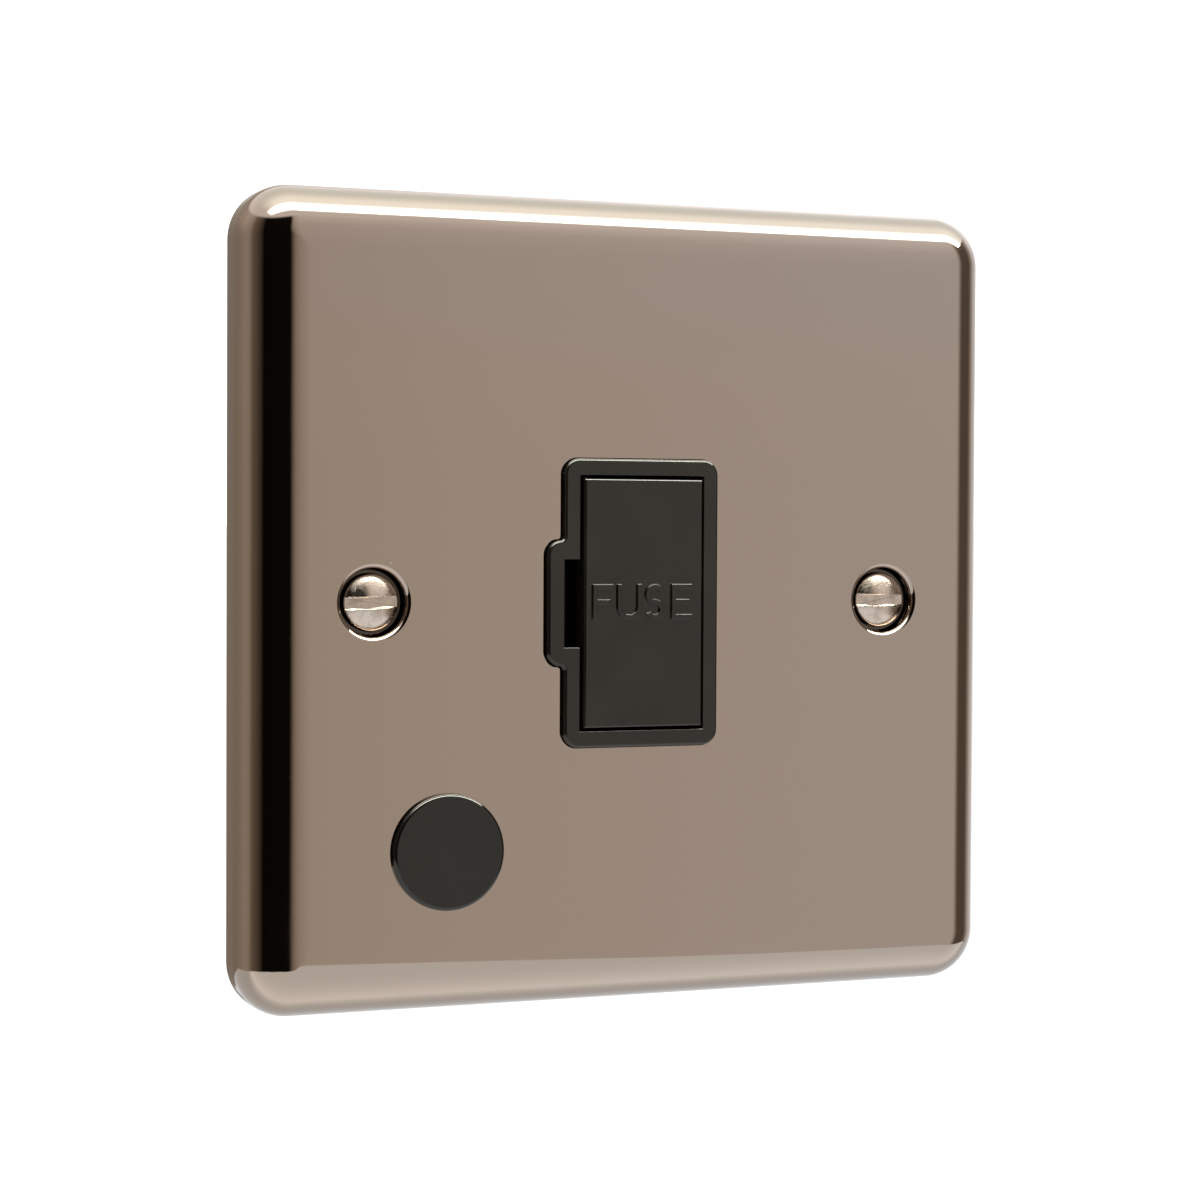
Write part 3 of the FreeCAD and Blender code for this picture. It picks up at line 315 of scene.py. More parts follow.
def new_material(name: str) -> tuple[bpy.types.Material, Shader]:
    """A material with an empty tree.

    Args:
        name: its name.

    Returns:
        The material and its shader.
    """
    material = bpy.data.materials.new(name)
    material.use_nodes = True
    return material, Shader(material.node_tree)


# Finishes


@dataclass(frozen=True)
class BlackNickel:
    """Polished black nickel plate: a warm dark mirror with faint haze, hairlines and dust.

    It has a painted cooler reflection tint upwards and to the right, and painted shade in the screw
    seats.
    """

    colour: Colour = (0.318, 0.246, 0.194)
    # Painted reflection tint: the base colour turns cooler upwards and to the right.
    painted_cool_colour: Colour = (0.306, 0.246, 0.211)
    painted_cool_rise: tuple[float, float] = (22.0 * MM, 34.0 * MM)
    painted_cool_rise_share: float = 0.55
    painted_cool_left: float = -35.0 * MM
    painted_cool_per_metre: float = 6.0
    # Painted shade: a dark ring in the base colour round each screw seat.
    painted_seat_shade_colour: Colour = (0.060, 0.048, 0.038)
    painted_seat_shade_rim: tuple[float, float] = (3.35 * MM, 3.6 * MM)
    screw_place: float = 30.15 * MM
    dust_colour: Colour = (0.62, 0.58, 0.53)
    hair_stretch: Colour = (40.0, 1.0, 900.0)
    roughness: float = 0.035
    haze: float = 0.05
    wave: float = 0.004 * MM

    def material(self) -> bpy.types.Material:
        """Build the finish.

        Returns:
            The material.
        """
        material, sh = new_material("black_nickel")
        place = sh.object_place()
        across, _, up = sh.parts_of(place)
        # Painted reflection tint, cooler upwards and to the right.
        painted_cool = up.ramp(*self.painted_cool_rise) * self.painted_cool_rise_share
        painted_cool = painted_cool + (across - self.painted_cool_left) * self.painted_cool_per_metre
        colour = sh.mix(painted_cool.clamped(), self.colour, self.painted_cool_colour)
        # Painted shade: the base colour darkens in a ring round each screw seat.
        aside = across.absolute() - self.screw_place
        seat = 1.0 - ((aside * aside + up * up) ** 0.5).ramp(*self.painted_seat_shade_rim)
        colour = sh.mix(seat, colour, self.painted_seat_shade_colour)
        cloud = sh.noise(place, size=22.0 * MM, detail=3.0)
        dust = sh.specks(place, spacing=3.5 * MM, radius=0.09 * MM, share=0.10)
        hair = sh.noise(sh.stretched(place, self.hair_stretch), size=1.0, detail=2.0)
        hair = hair.ramp(0.66, 0.72)
        rough = cloud.ramp(0.45, 0.8) * self.haze + self.roughness + dust * 0.5 + hair * 0.03
        colour = sh.mix(dust * 0.35, colour, self.dust_colour)
        normal = sh.bump(sh.noise(place, size=30.0 * MM, detail=1.0), self.wave)
        sh.surface({"Base Color": colour, "Metallic": 1.0, "Roughness": rough, "Normal": normal})
        return material


@dataclass(frozen=True)
class BlackMoulding:
    """Satin black thermoset with a very fine grain, pale specks and a slight sheen that varies."""

    name: str = "black_moulding"
    colour: Colour = (0.0030, 0.0024, 0.0018)
    worn_colour: Colour = (0.0058, 0.0048, 0.0038)
    roughness: float = 0.08
    spread: float = 0.12
    specular: float = 0.41
    grain: float = 0.0012 * MM
    tint: Colour = (1.0, 0.93, 0.82)
    fleck_colour: Colour = (0.16, 0.15, 0.14)

    def material(self) -> bpy.types.Material:
        """Build the finish.

        Returns:
            The material.
        """
        material, sh = new_material(self.name)
        place = sh.object_place()
        cloud = sh.noise(place, size=6.0 * MM, detail=5.0)
        flecks = sh.specks(place, spacing=2.2 * MM, radius=0.07 * MM, share=0.12)
        colour = sh.mix(cloud.ramp(0.35, 0.75), self.colour, self.worn_colour)
        colour = sh.mix(flecks * 0.5, colour, self.fleck_colour)
        rough = cloud * self.spread + self.roughness
        grain = sh.noise(place, size=0.22 * MM, detail=2.0)
        sh.surface({"Base Color": colour, "Roughness": rough, "Specular IOR Level": self.specular,
                    "Specular Tint": (*self.tint, 1.0), "Normal": sh.bump(grain, self.grain)})
        return material


@dataclass(frozen=True)
class WornNickel:
    """Nickel plate on a screw: bright, with fine turning lines, darker patches and dull wear."""

    colour: Colour = (0.44, 0.355, 0.290)
    dark_colour: Colour = (0.25, 0.195, 0.155)
    roughness: float = 0.14
    relief: float = 0.012 * MM

    def material(self) -> bpy.types.Material:
        """Build the finish.

        Returns:
            The material.
        """
        material, sh = new_material("screw_nickel")
        place = sh.object_place()
        patches = sh.noise(place, size=1.2 * MM, detail=6.0, roughness=0.62)
        drawn_out = sh.stretched(place, (1.0, 1.0, 9.0))
        scratches = sh.noise(drawn_out, size=0.7 * MM, detail=5.0, roughness=0.7)
        worn = patches.ramp(0.42, 0.66)
        colour = sh.mix(worn * 0.5, self.colour, self.dark_colour)
        rough = worn * 0.14 + scratches.ramp(0.3, 0.8) * 0.10 + self.roughness
        height = scratches * 0.6 + patches * 0.4
        sh.surface({"Base Color": colour, "Metallic": 1.0, "Roughness": rough,
                    "Normal": sh.bump(height, self.relief)})
        return material


@dataclass(frozen=True)
class DrawnMetal:
    """Brass or plated steel with drawing lines along one axis and a slight tarnish."""

    name: str
    colour: Colour
    tarnish: Colour
    roughness: float
    stretch: Colour = (1.0, 1.0, 14.0)
    relief: float = 0.012 * MM

    def material(self) -> bpy.types.Material:
        """Build the finish.

        Returns:
            The material.
        """
        material, sh = new_material(self.name)
        place = sh.object_place()
        cloud = sh.noise(place, size=4.0 * MM, detail=5.0, roughness=0.6)
        lines = sh.noise(sh.stretched(place, self.stretch), size=0.9 * MM, roughness=0.6)
        colour = sh.mix(cloud.ramp(0.45, 0.75), self.colour, self.tarnish)
        rough = cloud * 0.16 + lines * 0.12 + self.roughness
        sh.surface({"Base Color": colour, "Metallic": 1.0, "Roughness": rough,
                    "Normal": sh.bump(lines, self.relief)})
        return material


@dataclass(frozen=True)
class Ceramic:
    """Glazed white ceramic with fine pits and a warm cast."""

    colour: Colour = (0.78, 0.755, 0.69)
    pit_colour: Colour = (0.66, 0.62, 0.54)
    roughness: float = 0.22
    relief: float = 0.01 * MM

    def material(self) -> bpy.types.Material:
        """Build the finish.

        Returns:
            The material.
        """
        material, sh = new_material("ceramic")
        place = sh.object_place()
        cloud = sh.noise(place, size=3.0 * MM)
        pits = sh.noise(place, size=0.4 * MM, detail=3.0)
        colour = sh.mix(cloud.ramp(0.4, 0.8), self.colour, self.pit_colour)
        sh.surface({"Base Color": colour, "Roughness": cloud * 0.12 + self.roughness,
                    "Normal": sh.bump(pits, self.relief)})
        return material


# Mesh helpers


def turn_to_mesh(bm: bmesh.types.BMesh, name: str) -> bpy.types.Object:
    """Put a finished bmesh in a new object at the origin.

    Args:
        bm: the bmesh, which is freed.
        name: the piece's name.

    Returns:
        The object.
    """
    mesh = bpy.data.meshes.new(name)
    bm.to_mesh(mesh)
    bm.free()
    made = bpy.data.objects.new(name, mesh)
    bpy.context.scene.collection.objects.link(made)
    return made


def mark_sharp(bm: bmesh.types.BMesh, degrees: float) -> None:
    """Shade faces smooth and keep the edges past an angle sharp.

    Args:
        bm: the bmesh.
        degrees: the angle.
    """
    limit = math.radians(degrees)
    for face in bm.faces:
        face.smooth = True
    for edge in bm.edges:
        edge.smooth = len(edge.link_faces) == 2 and edge.calc_face_angle(math.pi) < limit


def remark(piece: bpy.types.Object, degrees: float, merge: bool = False) -> None:
    """Shade a piece smooth and mark its sharp edges anew.

    Args:
        piece: the object.
        degrees: edges past this angle are sharp.
        merge: whether its doubles are merged first.
    """
    bm = bmesh.new()
    bm.from_mesh(piece.data)
    if merge:
        bmesh.ops.remove_doubles(bm, verts=bm.verts, dist=MERGE)
    mark_sharp(bm, degrees)
    bm.to_mesh(piece.data)
    bm.free()


def even_normals(piece: bpy.types.Object) -> None:
    """Let large flat faces set the normals at their rims, so that rounded edges meet them smoothly.

    Args:
        piece: the object.
    """
    modifier = piece.modifiers.new("even_normals", "WEIGHTED_NORMAL")
    modifier.keep_sharp = True
    modifier.weight = 100


def bake(piece: bpy.types.Object) -> None:
    """Apply the piece's modifiers.

    Args:
        piece: the object, which gets its final mesh.
    """
    graph = bpy.context.evaluated_depsgraph_get()
    graph.update()
    mesh = bpy.data.meshes.new_from_object(piece.evaluated_get(graph), depsgraph=graph)
    piece.modifiers.clear()
    piece.data = mesh


def carve(piece: bpy.types.Object, cutter: bpy.types.Object,
          operation: str = "DIFFERENCE") -> None:
    """Cut a closed shape out of a piece, or join it, and remove the cutter.

    Args:
        piece: the object that is changed.
        cutter: the closed shape.
        operation: DIFFERENCE or UNION.
    """
    modifier = piece.modifiers.new("carve", "BOOLEAN")
    modifier.operation = operation
    modifier.solver = "EXACT"
    modifier.object = cutter
    bpy.context.view_layer.update()
    bake(piece)
    bpy.data.objects.remove(cutter)


def turned(profile: Iterable[tuple[float, float]], centre: Vector,
           steps: int) -> bmesh.types.BMesh:
    """Spin a profile about the axis along Y through a centre.

    Args:
        profile: (radius, y) pairs in metres, from the axis to the axis or closed by itself.
        centre: a point on the axis.
        steps: the number of sides.

    Returns:
        The closed shape with its normals outward.
    """
    bm = bmesh.new()
    line = [bm.verts.new((centre.x + radius, y, centre.z)) for radius, y in profile]
    edges = [bm.edges.new(pair) for pair in zip(line, line[1:])]
    bmesh.ops.spin(bm, geom=line + edges, cent=centre, axis=(0, 1, 0), angle=math.tau, steps=steps,
                   use_merge=True)
    bmesh.ops.remove_doubles(bm, verts=bm.verts, dist=MERGE)
    bmesh.ops.recalc_face_normals(bm, faces=bm.faces)
    return bm


def arc_points(centre: tuple[float, float], radius: float, start: float, end: float,
               count: int) -> list[tuple[float, float]]:
    """Points along an arc in a profile's plane, the angles in degrees."""
    angles = [math.radians(start + (end - start) * number / count) for number in range(count + 1)]
    return [(centre[0] + radius * math.cos(a), centre[1] + radius * math.sin(a)) for a in angles]


def outline_prism(corners: list[tuple[float, float]], radii: list[float], rear: float,
                  front: float, steps: int = 10) -> bmesh.types.BMesh:
    """A prism along Y with rounded corners.

    Args:
        corners: (x, z) pairs.
        radii: each corner's radius.
        rear: the y of the rear face.
        front: the y of the front face, less than rear.
        steps: the number of sides of a rounded corner.

    Returns:
        The closed shape.
    """
    bm = bmesh.new()
    points = [bm.verts.new((x, rear, z)) for x, z in corners]
    bm.faces.new(points)
    for radius in sorted(set(radii)):
        chosen = [point for point, own in zip(points, radii) if own == radius]
        bmesh.ops.bevel(bm, geom=chosen, offset=radius, offset_type="OFFSET", affect="VERTICES",
                        segments=steps, profile=0.5, material=-1)
    pulled = bmesh.ops.extrude_face_region(bm, geom=list(bm.faces))
    moved = [part for part in pulled["geom"] if isinstance(part, bmesh.types.BMVert)]
    bmesh.ops.translate(bm, vec=(0, front - rear, 0), verts=moved)
    bmesh.ops.recalc_face_normals(bm, faces=bm.faces)
    return bm


def middle_of(node: str) -> Vector:
    """The middle of a node's box."""
    low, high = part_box(node)
    return (low + high) / 2


def settle(piece: bpy.types.Object, node: str, body: Body,
           material: bpy.types.Material) -> None:
    """Dress a piece, tie it to its body and hide its node.

    Args:
        piece: the object.
        node: the CAD node.
        body: the body that it rides on.
        material: its finish.
    """
    piece.data.materials.clear()
    piece.data.materials.append(material)
    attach(piece, body.value)
    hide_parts(node)
    LOG.info("%s: %d faces", piece.name, len(piece.data.polygons))


def softened(node: str, bevel: float, front_round: float) -> bpy.types.Object:
    """A copy of a node with merged faces and small rounded edges.

    Args:
        node: the CAD node.
        bevel: the edge radius in metres, or 0 for none.
        front_round: the same for the edges round its foremost faces.

    Returns:
        The new object.
    """
    bm = bmesh.new()
    bm.from_mesh(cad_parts[node].data)
    bmesh.ops.remove_doubles(bm, verts=bm.verts, dist=SOLID_MERGE)
    bmesh.ops.dissolve_limit(bm, angle_limit=math.radians(FLAT_DEGREES), verts=bm.verts,
                             edges=bm.edges)
    if front_round:
        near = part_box(node)[0].y + FRONT_DEPTH
        rim = [edge for edge in bm.edges if all(v.co.y < near for v in edge.verts)
               and edge.calc_face_angle(0.0) > math.radians(SHARP_DEGREES)]
        bmesh.ops.bevel(bm, geom=rim, offset=front_round, offset_type="OFFSET", affect="EDGES",
                        segments=FRONT_STEPS, profile=0.5, material=-1, clamp_overlap=True)
    mark_sharp(bm, SHARP_DEGREES)
    piece = turn_to_mesh(bm, f"{node}_shape")
    if bevel:
        modifier = piece.modifiers.new("edge_round", "BEVEL")
        modifier.width = bevel
        modifier.segments = ROUND_STEPS
        modifier.limit_method = "ANGLE"
        modifier.angle_limit = math.radians(SHARP_DEGREES)
        modifier.use_clamp_overlap = True
        modifier.miter_outer = "MITER_ARC"
        bake(piece)
        remark(piece, ROUNDED_DEGREES)
    even_normals(piece)
    return piece


# Pieces


@dataclass(frozen=True)
class Roll:
    """The plate's rolled edge: a short arc at the rim that runs into a long, nearly flat one."""

    rim_radius: float = 5.2 * MM
    rim_steps: int = 26
    crown_radius: float = 20.0 * MM
    crown_degrees: float = 7.0
    crown_steps: int = 8
    lip_radius: float = 0.2 * MM
    lip_steps: int = 3

    def places(self, front: float, depth: float) -> list[tuple[float, float]]:
        """Insets from the plate's outline and heights, from its face out to its rear rim.

        Args:
            front: the y of the plate's face.
            depth: how far below its outer surface the line runs.

        Returns:
            (inset, y) pairs.
        """
        crown = math.radians(self.crown_degrees)
        steep = -90 - self.crown_degrees
        start = self.rim_radius * (1 - math.sin(crown)) + self.crown_radius * math.sin(crown)
        middle = front + self.crown_radius
        top = middle - (self.crown_radius - self.rim_radius) * math.cos(crown)
        line = arc_points((start, middle), self.crown_radius - depth, -90, steep, self.crown_steps)
        line += arc_points((self.rim_radius, top), self.rim_radius - depth, steep, -180,
                           self.rim_steps)[1:]
        if depth:
            return line + [(depth, 0.0)]
        lip = self.lip_radius
        return line + arc_points((lip, -lip), lip, 180, 90, self.lip_steps)


@dataclass
class FrontPlate:
    """The pressed plate with its rolled edges, dimples, aperture and outlet hole."""

    roll: Roll = Roll()
    corner_radius: float = 5.8 * MM
    least_radius: float = 0.35 * MM
    corner_steps: int = 18
    sheet: float = 1.0 * MM
    aperture_gap: float = 0.12 * MM
    frame_radius: float = 1.7 * MM
    bump_radius: float = 1.6 * MM
    inner_radius: float = 0.5 * MM
    dimple_radius: float = 4.15 * MM
    lip_radius: float = 0.62 * MM
    lip_degrees: tuple[float, float] = (9.0, 78.0)
    lip_steps: int = 10
    well_depth: float = 1.6 * MM
    well_sides: int = 128
    seat_radius: float = 2.62 * MM
    seat_drop: float = 0.08 * MM
    hole_radius: float = 2.1 * MM
    cone_depth: float = 3.46 * MM
    cone_overlap: float = 0.2 * MM
    cone_sides: int = 96
    outlet_radius: float = 5.1 * MM
    outlet_sides: int = 96
    margin: float = 1.0 * MM
    sharp_degrees: float = 34.0
    frame_width: float = 18.1 * MM
    frame_centre: tuple[float, float] = (0.13 * MM, -0.18 * MM)
    frame_height: float = 31.3 * MM
    bump_height: float = 13.6 * MM
    bump_reach: float = 1.95 * MM
    low: Vector = field(default_factory=lambda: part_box("front_plate")[0])
    high: Vector = field(default_factory=lambda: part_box("front_plate")[1])

    def frame_outline(self, grow: float) -> tuple[list[tuple[float, float]], list[float]]:
        """The outline of the frame and its finger bump.

        Args:
            grow: how far outside the frame the line runs.

        Returns:
            The corners as (x, z) pairs, and their radii.
        """
        x, z = self.frame_centre
        left = x - self.frame_width / 2 - grow
        right = x + self.frame_width / 2 + grow
        top = z + self.frame_height / 2 + grow
        base = z - self.frame_height / 2 - grow
        bump = left - self.bump_reach
        rise = self.bump_height / 2 + grow
        corners = [(left, base), (right, base), (right, top), (left, top), (left, z + rise),
                   (bump, z + rise), (bump, z - rise), (left, z - rise)]
        outer = self.frame_radius + grow
        side = self.bump_radius + grow
        return corners, [outer] * 4 + [self.inner_radius, side, side, self.inner_radius]

    def ring(self, bm: bmesh.types.BMesh, inset: float, y: float) -> list[bmesh.types.BMVert]:
        """One closed line round the plate, with rounded corners.

        Args:
            bm: the bmesh that gets the points.
            inset: how far inside the plate's outline the line runs.
            y: its place along Y.

        Returns:
            The points in order.
        """
        radius = max(self.corner_radius - inset, self.least_radius)
        reach = self.high.x - inset - radius
        points = []
        for number, (side, rise) in enumerate(((1, 1), (-1, 1), (-1, -1), (1, -1))):
            for step in range(self.corner_steps + 1):
                angle = math.pi / 2 * (number + step / self.corner_steps)
                x = side * reach + radius * math.cos(angle)
                z = rise * reach + radius * math.sin(angle)
                points.append(bm.verts.new((x, y, z)))
        return points

    def blank(self) -> bpy.types.Object:
        """The pressed shell: outer skin, rear rim and inner skin.

        Returns:
            The object, still without openings.
        """
        bm = bmesh.new()
        outer = self.roll.places(self.low.y, 0.0)
        inner = self.roll.places(self.low.y, self.sheet)
        rings = [self.ring(bm, inset, y) for inset, y in outer + inner[::-1]]
        for first, second in zip(rings, rings[1:]):
            for place in range(len(first)):
                after = (place + 1) % len(first)
                bm.faces.new((first[place], first[after], second[after], second[place]))
        bm.faces.new(rings[0])
        bm.faces.new(rings[-1])
        bmesh.ops.remove_doubles(bm, verts=bm.verts, dist=MERGE)
        bmesh.ops.recalc_face_normals(bm, faces=bm.faces)
        return turn_to_mesh(bm, "front_plate_pressing")

    def dimple(self, centre: Vector) -> tuple[bmesh.types.BMesh, bmesh.types.BMesh]:
        """The cone that the sheet is pressed into, and the well in its front with a rolled lip.

        Args:
            centre: a point on the screw's axis.

        Returns:
            The shape that is joined to the plate, and the one that is cut out of it.
        """
        front = self.low.y
        rear = front + self.cone_depth
        inner = front + self.sheet - self.cone_overlap
        wide = self.hole_radius + rear - inner
        cone = turned([(0, rear), (self.hole_radius, rear), (wide, inner), (0, inner)],
                      centre, self.cone_sides)
        first, last = self.lip_degrees
        across = self.dimple_radius + self.lip_radius * math.sin(math.radians(first))
        deep = front + self.lip_radius * math.cos(math.radians(first))
        edge = arc_points((across, deep), self.lip_radius, -90 - first, -90 - last, self.lip_steps)
        floor = front + self.well_depth
        wall = edge[-1][0] - (floor - edge[-1][1]) / math.tan(math.radians(last))
        seat = floor + self.seat_drop
        neck = seat + self.seat_radius - self.hole_radius
        start, end = front - self.margin, rear + self.margin
        sink = turned([(0, start), (self.dimple_radius + self.margin, start), *edge, (wall, floor),
                       (self.seat_radius, seat), (self.hole_radius, neck),
                       (self.hole_radius, end), (0, end)], centre, self.well_sides)
        return cone, sink

    def build(self, material: bpy.types.Material) -> None:
        """Make the plate and put it in the node's place.

        Args:
            material: its finish.
        """
        plate = self.blank()
        for node in ("fixing_screw_left", "fixing_screw_right"):
            cone, sink = self.dimple(Vector((middle_of(node).x, 0, 0)))
            carve(plate, turn_to_mesh(cone, "cone_tool"), "UNION")
            carve(plate, turn_to_mesh(sink, "sink_tool"))
        front, rear = self.low.y - self.margin, self.high.y
        corners, radii = self.frame_outline(self.aperture_gap)
        aperture = outline_prism(corners, radii, rear, front)
        carve(plate, turn_to_mesh(aperture, "aperture_tool"))
        outlet = turned([(0, rear), (self.outlet_radius, rear), (self.outlet_radius, front),
                         (0, front)], middle_of("blanking_plug"), self.outlet_sides)
        carve(plate, turn_to_mesh(outlet, "outlet_tool"))
        remark(plate, self.sharp_degrees, merge=True)
        even_normals(plate)
        settle(plate, "front_plate", Body.BASE, material)


@dataclass
class BlankingPlug:
    """The round push-in blank with its crowned edge and hollow stem."""

    stem_radius: float = 4.9 * MM
    stem_wall: float = 1.2 * MM
    hollow_start: float = 0.2 * MM
    edge_radius: float = 0.45 * MM
    edge_steps: int = 8
    barb: float = 0.12 * MM
    barb_length: float = 0.4 * MM
    sides: int = 128
    sharp_degrees: float = 40.0

    def build(self, material: bpy.types.Material) -> None:
        """Turn the plug in the node's place.

        Args:
            material: its finish.
        """
        low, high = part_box("blanking_plug")
        radius = (high.x - low.x) / 2
        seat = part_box("front_plate")[0].y
        hollow = seat - self.hollow_start
        bore = self.stem_radius - self.stem_wall
        edge = arc_points((radius - self.edge_radius, low.y + self.edge_radius), self.edge_radius,
                          0, -90, self.edge_steps)
        profile = [(0, hollow), (bore, hollow), (bore, high.y),
                   (self.stem_radius - self.barb, high.y),
                   (self.stem_radius, high.y - self.barb_length), (self.stem_radius, seat),
                   (radius, seat), *edge, (0, low.y)]
        bm = turned(profile, middle_of("blanking_plug"), self.sides)
        mark_sharp(bm, self.sharp_degrees)
        plug = turn_to_mesh(bm, "blanking_plug_shape")
        even_normals(plug)
        settle(plug, "blanking_plug", Body.BASE, material)


@dataclass
class FixingScrew:
    """A raised countersunk screw with a straight slot and a rolled thread."""

    node: str
    slot_degrees: float
    head_radius: float = 3.0 * MM
    dome: float = 1.0 * MM
    dome_steps: int = 16
    land: float = 0.15 * MM
    slot_width: float = 1.25 * MM
    slot_depth: float = 0.9 * MM
    slot_margin: float = 1.0 * MM
    edge_radius: float = 0.12 * MM
    edge_steps: int = 3
    neck_radius: float = 1.5 * MM
    neck_rise: float = 0.1 * MM
    thread_radius: float = 1.75 * MM
    thread_foot: float = 0.05 * MM
    root_radius: float = 1.42 * MM
    pitch: float = 0.6 * MM
    foot_share: float = 0.42
    crest_share: float = 0.06
    turn_steps: int = 20
    tip: float = 0.5 * MM
    sides: int = 96
    round_degrees: float = 38.0
    sharp_degrees: float = 40.0

    def head(self, centre: Vector, top: float) -> bpy.types.Object:
        """The head, its neck and the shank's core.

        Args:
            centre: a point on the screw's axis.
            top: the y of the head's highest point.

        Returns:
            The object.
        """
        rim = top + self.dome
        rise = self.dome - self.land
        ball = (self.head_radius ** 2 + rise ** 2) / (2 * rise)
        half = math.degrees(math.asin(self.head_radius / ball))
        dome = arc_points((0, top + ball), ball, -90, -90 + half, self.dome_steps)
        neck = rim + self.head_radius - self.neck_radius
        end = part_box(self.node)[1].y
        profile = [*dome, (self.head_radius, rim), (self.neck_radius, neck),
                   (self.neck_radius, -self.neck_rise), (self.root_radius, 0.0),
                   (self.root_radius, end - self.tip), (self.root_radius - self.tip, end),
                   (0, end)]
        return turn_to_mesh(turned(profile, centre, self.sides), f"{self.node}_shape")

    def slot(self, centre: Vector, top: float) -> bpy.types.Object:
        """The straight slot's tool.

        Args:
            centre: a point on the screw's axis.
            top: the y of the head's highest point.

        Returns:
            The object.
        """
        bm = bmesh.new()
        bmesh.ops.create_cube(bm, size=1.0)
        size = (self.head_radius * 3, self.slot_depth + self.slot_margin, self.slot_width)
        bmesh.ops.scale(bm, vec=size, verts=bm.verts)
        bmesh.ops.translate(bm, vec=(0, top + self.slot_depth - size[1] / 2, 0), verts=bm.verts)
        turn = Matrix.Rotation(-math.radians(self.slot_degrees), 3, "Y")
        bmesh.ops.rotate(bm, cent=(0, 0, 0), matrix=turn, verts=bm.verts)
        bmesh.ops.translate(bm, vec=(centre.x, 0, centre.z), verts=bm.verts)
        return turn_to_mesh(bm, "slot_tool")

    def thread(self, bm: bmesh.types.BMesh, centre: Vector) -> None:
        """Add a ridge that winds round the shank, from the wall plane to the tip.

        Args:
            bm: the bmesh that gets it, as a closed shape of its own.
            centre: a point on the screw's axis.
        """
        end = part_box(self.node)[1].y - self.tip
        turns = int((end - self.pitch) / self.pitch)
        foot, crest = self.pitch * self.foot_share, self.pitch * self.crest_share
        inner = self.root_radius - self.thread_foot
        ridge = [(inner, -foot), (self.thread_radius, -crest), (self.thread_radius, crest),
                 (inner, foot)]
        line = [bm.verts.new((centre.x + radius, self.pitch + y, centre.z)) for radius, y in ridge]
        face = bm.faces.new(line)
        bmesh.ops.spin(bm, geom=[face], cent=centre, axis=(0, 1, 0), angle=math.tau * turns,
                       steps=self.turn_steps * turns, dvec=(0, self.pitch / self.turn_steps, 0),
                       use_merge=False)
        bmesh.ops.recalc_face_normals(bm, faces=bm.faces)

    def build(self, material: bpy.types.Material) -> None:
        """Make the screw in the node's place.

        Args:
            material: its finish.
        """
        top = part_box(self.node)[0].y
        centre = middle_of(self.node)
        screw = self.head(centre, top)
        carve(screw, self.slot(centre, top))
        bevel = screw.modifiers.new("edge_round", "BEVEL")
        bevel.width = self.edge_radius
        bevel.segments = self.edge_steps
        bevel.limit_method = "ANGLE"
        bevel.use_clamp_overlap = False
        bevel.angle_limit = math.radians(self.round_degrees)
        bake(screw)
        bm = bmesh.new()
        bm.from_mesh(screw.data)
        bmesh.ops.remove_doubles(bm, verts=bm.verts, dist=MERGE)
        self.thread(bm, centre)
        mark_sharp(bm, self.sharp_degrees)
        bm.to_mesh(screw.data)
        bm.free()
        even_normals(screw)
        settle(screw, self.node, Body.BASE, material)


@dataclass
class SoftenedPieces:
    """Nodes whose form is right and that only get rounded edges and a finish.

    A larger rounding round the front lets its edges catch the light.
    """

    bevels_mm: dict[str, float]
    body: Body
    slot: Slot
    front_mm: float = 0.0

    def build(self, material: bpy.types.Material) -> None:
        """Copy, round and dress each node.

        Args:
            material: their finish.
        """
        for node, bevel in self.bevels_mm.items():
            piece = softened(node, bevel * MM, self.front_mm * MM)
            settle(piece, node, self.body, material)


# Studio


def only_reflected(piece: bpy.types.Object) -> None:
    """Show a piece of the studio to reflections and to nothing else.

    Args:
        piece: the object.
    """
    piece.visible_camera = False
    piece.visible_diffuse = False
    piece.visible_shadow = False
    piece.visible_transmission = False


